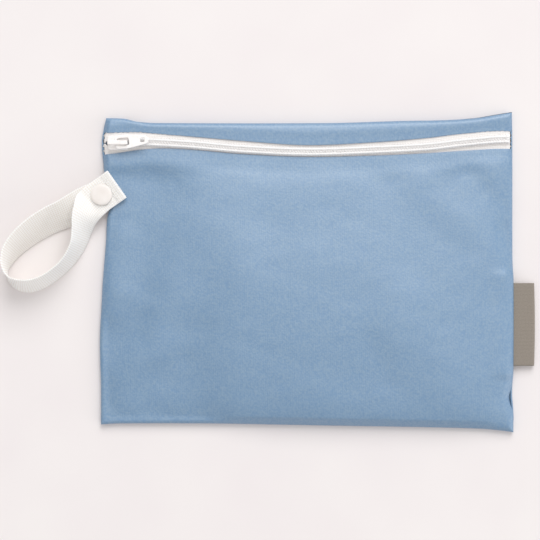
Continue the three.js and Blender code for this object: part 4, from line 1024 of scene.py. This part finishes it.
def edge_curve(t):
    """Points of the smooth curve through the strap's edge, by share of its rows."""
    rows = np.array([edge_point(row) for row in STRAP_RUN])
    points = np.concatenate([[2 * rows[0] - rows[1]], rows, [2 * rows[-1] - rows[-2]]])
    place = np.clip(np.asarray(t, float), 0, 1) * (len(rows) - 1)
    i = np.minimum(place.astype(int), len(rows) - 2)
    w = (place - i)[:, None]
    p0, p1, p2, p3 = (points[i + k] for k in range(4))
    pairs = (p0, p1), (p1, p2), (p2, p3)
    d0, d1, d2 = (np.sqrt(np.linalg.norm(b - a, axis=1))[:, None] for a, b in pairs)
    m = ((p1 - p0) / d0 - (p2 - p0) / (d0 + d1) + (p2 - p1) / d1) * d1
    n = ((p2 - p1) / d1 - (p3 - p1) / (d1 + d2) + (p3 - p2) / d2) * d1
    return p1 + m * w + (3 * (p2 - p1) - 2 * m - n) * w ** 2 + (2 * (p1 - p2) + m + n) * w ** 3


def strap_sections(t):
    """The strap's edge, its direction across and its face at shares of the run."""
    t = np.asarray(t, float)
    nudge = 1e-4
    edge = edge_curve(t)
    along = edge_curve(np.minimum(1, t + nudge)) - edge_curve(np.maximum(0, t - nudge))
    along[:, 2] = 0
    along /= np.linalg.norm(along, axis=1)[:, None]
    leans = [(i / (len(STRAP_RUN) - 1), row[3]) for i, row in enumerate(STRAP_RUN)]
    lean = np.minimum(math.pi, np.radians(read(leans, t)))
    width = np.stack([along[:, 1] * np.cos(lean), -along[:, 0] * np.cos(lean), np.sin(lean)], -1)
    middle = edge + width * STRAP_WIDTH / 2
    run = np.gradient(middle, axis=0)
    face = np.cross(run / np.linalg.norm(run, axis=1)[:, None], width)
    return edge, width, face / np.linalg.norm(face, axis=1)[:, None]


def even_places(step):
    """Shares of the run that are evenly spaced along the strap's middle."""
    t = np.linspace(0, 1, 4001)
    edge, width, _ = strap_sections(t)
    middle = edge + width * STRAP_WIDTH / 2
    length = np.concatenate([[0], np.cumsum(np.linalg.norm(np.diff(middle, axis=0), axis=1))])
    return np.interp(np.arange(0, length[-1], step), length, t)


def strap():
    step = RIB_PITCH / 4
    edge, width, face = strap_sections(even_places(step))
    length = (len(edge) - 1) * step
    radius = (STRAP_THICKNESS + HEM_ROOM) / 2
    along = np.cross(width[-1], face[-1])
    turns = np.linspace(0, math.pi, 9)[1:]
    under = range(1, int(STRAP_HEM / step))
    fold = [along * math.sin(a) - face[-1] * (1 - math.cos(a)) for a in turns]
    edges = [edge, [edge[-1] + out * radius for out in fold]]
    edges.append([edge[-1 - i] - face[-1 - i] * 2 * radius for i in under])
    turned_faces = [face, [face[-1] * math.cos(a) + along * math.sin(a) for a in turns]]
    turned_faces.append([-face[-1 - i] for i in under])
    widths = [width, [width[-1]] * len(turns), [width[-1 - i] for i in under]]
    runs = [np.arange(len(edge)) * step, length + radius * turns]
    runs.append(length + radius * math.pi + step * np.array(under))
    hem_run = length - STRAP_HEM
    seam_place = int(hem_run / step)
    edge, width, face, run = (np.concatenate(parts) for parts in (edges, widths, turned_faces, runs))
    columns = 58
    half = STRAP_THICKNESS / 2
    inner = np.linspace(SELVEDGE, STRAP_WIDTH - SELVEDGE, columns)
    far_edge = [STRAP_WIDTH - SELVEDGE_TURN, STRAP_WIDTH, STRAP_WIDTH - SELVEDGE_TURN]
    outs = np.concatenate([inner, far_edge, inner[::-1], [SELVEDGE_TURN, 0, SELVEDGE_TURN]])
    down = [SELVEDGE_SHARE, 0, -SELVEDGE_SHARE]
    ups = np.concatenate([np.full(columns, 1.0), down, np.full(columns, -1.0), down[::-1]])
    ribs = 0.5 + 0.5 * np.cos(2 * math.pi * run / RIB_PITCH)
    cords = 0.5 + 0.5 * np.cos(2 * math.pi * outs / CORD_PITCH)
    ribbed = mix(RIB_SHARE, HEM_RIB_SHARE, ease((run - hem_run) / HEM_FADE)[:, None])
    sink = RIB_DEPTH * (1 - ribbed * ribs[:, None] - (1 - ribbed) * cords[None, :])
    sink = sink + HEM_GROOVE * np.exp(-((run[:, None] - hem_run) / HEM_GROOVE_WIDTH) ** 2)
    height = ups[None, :] * (half - np.where(np.abs(ups) == 1, sink, sink * SELVEDGE_SINK))
    points = edge[:, None, :] + width[:, None, :] * outs[None, :, None]
    points = points + face[:, None, :] * height[:, :, None]
    rows, around = height.shape
    faces = [f[::-1] for f in grid_faces(rows, around, 0, True)]
    faces += [tuple(range(around)), tuple(range(rows * around - 1, (rows - 1) * around - 1, -1))]
    mesh = mesh_from("strap", points.reshape(-1, 3), faces, FINISHES["webbing"])
    map_run(mesh, np.stack([np.repeat(run, around), np.tile(outs, rows)], -1))
    fit(shown("strap", mesh), "bag", "webbing", "wrist_strap")
    start = edge[seam_place] + face[seam_place] * (half - STITCH_SINK)
    across_hem = np.linspace(STITCH_INSET, STRAP_WIDTH - STITCH_INSET, 12)
    seam = [[start + width[seam_place] * out for out in across_hem]]
    sizes = {"Step": STITCH_STEP, "Length": STITCH_LENGTH, "Width": STITCH_WIDTH, "Height": STITCH_WIDTH}
    fit(along_line("strap_stitching", seam, STITCH, "sewing_thread", **sizes), "bag", "webbing")


# The snap and the label


def snap_centre():
    before, at, after = (edge_point(STRAP_RUN[SNAP_ROW + step]) for step in (-1, 0, 1))
    along = (after - before)[:2]
    along /= np.linalg.norm(along)
    return at[0] + along[1] * STRAP_WIDTH / 2, at[1] - along[0] * STRAP_WIDTH / 2


def turned(name, profile, node, sides=72):
    """A closed turned piece about the vertical, from a profile of radius and height."""
    x, y = snap_centre()
    shape = bmesh.new()
    points = [shape.verts.new((r, 0, z)) for r, z in profile]
    edges = [shape.edges.new((a, b)) for a, b in zip(points, points[1:])]
    if profile[0][0] > 0:
        edges.append(shape.edges.new((points[-1], points[0])))
    bmesh.ops.spin(
        shape, geom=points + edges, axis=(0, 0, 1), cent=(0, 0, 0), steps=sides, angle=2 * math.pi
    )
    bmesh.ops.remove_doubles(shape, verts=shape.verts, dist=MERGE)
    bmesh.ops.recalc_face_normals(shape, faces=shape.faces)
    shape.transform(Matrix.Scale(MM, 4) @ Matrix.Translation((x, y, 0)))
    mesh = bpy.data.meshes.new(name)
    shape.to_mesh(mesh)
    shape.free()
    mesh.materials.append(FINISHES["acetal"])
    mesh.shade_smooth()
    fit(shown(name, mesh), "bag", "acetal", node)


def snap():
    outer, ring = SNAP_DIAMETER / 2, SNAP_RING_DIAMETER / 2
    pin, knob = SNAP_PIN_DIAMETER / 2, SNAP_KNOB_DIAMETER / 2
    half = STRAP_THICKNESS / 2
    stud_level = STRAP_LEVEL + half + GAP
    stud_top = stud_level + SNAP_STUD_HEIGHT
    socket_level = stud_top + GAP
    socket_top = socket_level + SNAP_SOCKET_HEIGHT
    cap_level = STRAP_TOP + half + GAP
    cap_top = cap_level + SNAP_CAP_HEIGHT
    back_top = STRAP_LEVEL - half - GAP
    back_bottom = max(0, back_top - SNAP_BACK_HEIGHT)
    knob_top = stud_top + SNAP_KNOB_HEIGHT
    pocket = knob_top + GAP
    rim_top = cap_level + SNAP_CAP_RIM
    wide, high = DOME_POWERS
    dome = [
        (outer * math.cos(a) ** wide, mix(rim_top, cap_top, math.sin(a) ** high))
        for a in np.linspace(0, math.pi / 2, 22)[1:-1]
    ]
    cap = softened([(pin, pocket), (pin, cap_level), (outer, cap_level), (outer, rim_top), dome[0]])
    turned("snap_button", [(0, pocket)] + cap + dome[1:] + [(0, cap_top)], "snap_cap")
    back = [(0, back_bottom), (outer, back_bottom), (outer, back_top)]
    back += [(pin, back_top), (pin, stud_top - GAP), (0, stud_top - GAP)]
    turned("snap_button_under", softened(back), "snap_back_cap")
    stud = [(pin + GAP, stud_level), (ring, stud_level), (ring, stud_top), (knob, stud_top)]
    stud += [(knob, knob_top), (pin + GAP, knob_top)]
    turned("snap_knob", softened(stud), "snap_stud")
    socket = [(knob + GAP, socket_level), (ring, socket_level), (ring, socket_top), (pin + GAP, socket_top)]
    socket += [(pin + GAP, pocket), (knob + GAP, pocket)]
    turned("snap_ring", softened(socket), "snap_socket")


def label():
    """One woven strip folded at its outer edge, with both ends sewn into the right seam."""
    edge = float(right_x(LABEL_MIDDLE))
    middle = CLOTH + GAP + LABEL_THICKNESS / 2
    end = edge + LABEL_REACH - LABEL_THICKNESS / 2
    flat = np.linspace(edge - LABEL_SEWN_IN, end, 16)
    around_fold = np.linspace(-math.pi / 2, math.pi / 2, 13)[1:-1]

    def layer(radius):
        fold = [(end + radius * math.cos(a), radius * math.sin(a)) for a in around_fold]
        return [(x, -radius) for x in flat] + fold + [(x, radius) for x in flat[::-1]]

    outside, inside = layer(LABEL_THICKNESS / 2), layer(GAP / 2)
    outline = outside + inside[::-1]
    points = []
    lengths = np.linspace(-LABEL_LENGTH / 2, LABEL_LENGTH / 2, 61)
    for y in lengths:
        out = LABEL_BOW * (1 - (2 * y / LABEL_LENGTH) ** 2)
        for x, z in outline:
            share = np.clip((x - edge) / LABEL_REACH, 0, 1)
            pinch = 1 - LABEL_PINCH * share * (1 - share)
            points.append((x + out * share, y + BAG_HEIGHT * (LABEL_MIDDLE - 0.5), middle + z * pinch))
    count = len(outline)
    last = (len(lengths) - 1) * count
    faces = grid_faces(len(lengths), count, 0, True)
    for k in range(len(outside) - 1):
        quad = (k, k + 1, count - 2 - k, count - 1 - k)
        faces += [quad[::-1], tuple(last + i for i in quad)]
    mesh = mesh_from("label_fold", points, faces, FINISHES["woven_label"])
    closed = bmesh.new()
    closed.from_mesh(mesh)
    bmesh.ops.recalc_face_normals(closed, faces=closed.faces)
    closed.to_mesh(mesh)
    closed.free()
    fit(shown("label_fold", mesh), "bag", "woven_label", "side_label")


# The table top, the light and the camera, with these places and sizes in metres

FLOOR_LEVEL, FLOOR_HALF = -0.00005, 2.5
ROOM_COLOUR, ROOM_STRENGTH = (1, 0.985, 0.98, 1), 0.6
# Name, place, size and power of each lamp, which all face the bag
LAMPS = [
    ("window", (0.75, 3.55, 3.3), 3.2, 148),
    ("ceiling", (0.2, 0.1, 1.9), 1.6, 3),
    ("white_wall", (3.1, -1.3, 1), 2.4, 26),
]


def studio():
    floor = bpy.data.meshes.new("table_top")
    square = (-1, -1), (1, -1), (1, 1), (-1, 1)
    corners = [(x * FLOOR_HALF, y * FLOOR_HALF, FLOOR_LEVEL) for x, y in square]
    floor.from_pydata(corners, [], [(0, 1, 2, 3)])
    floor.materials.append(FINISHES["table_top"])
    shown("table_top", floor)
    world = bpy.data.worlds.new("soft_room")
    world.use_nodes = True
    background = world.node_tree.nodes["Background"]
    background.inputs["Color"].default_value = ROOM_COLOUR
    background.inputs["Strength"].default_value = ROOM_STRENGTH
    bpy.context.scene.world = world
    for name, place, size, power in LAMPS:
        light = bpy.data.lights.new(name, "AREA")
        light.shape, light.size, light.energy = "SQUARE", size, power
        lamp = shown(name, light)
        lamp.location = place
        lamp.rotation_mode = "QUATERNION"
        lamp.rotation_quaternion = (-Vector(place)).to_track_quat("-Z", "Y")
    view = bpy.context.scene.view_settings
    view.view_transform, view.look, view.exposure, view.gamma = "Standard", "None", 0, 1


def camera():
    settings = bpy.data.cameras.new("camera")
    settings.lens, settings.sensor_width = LENS, SENSOR
    settings.clip_start, settings.clip_end = 0.01, 10
    eye = shown("camera", settings)
    distance = VIEW_WIDTH * LENS / SENSOR
    eye.location = (VIEW_CENTRE[0] * MM, VIEW_CENTRE[1] * MM, (VIEW_LEVEL + distance) * MM)
    bpy.context.scene.camera = eye


camera()
studio()
back_cloth()
front_cloth()
top_cloth()
tape("tape_above_coil", "zip_tape_upper", UPPER, 1)
tape("tape_below_coil", "zip_tape_lower", LOWER, -1)
zip_coil()
slider()
pull()
strap()
snap()
label()
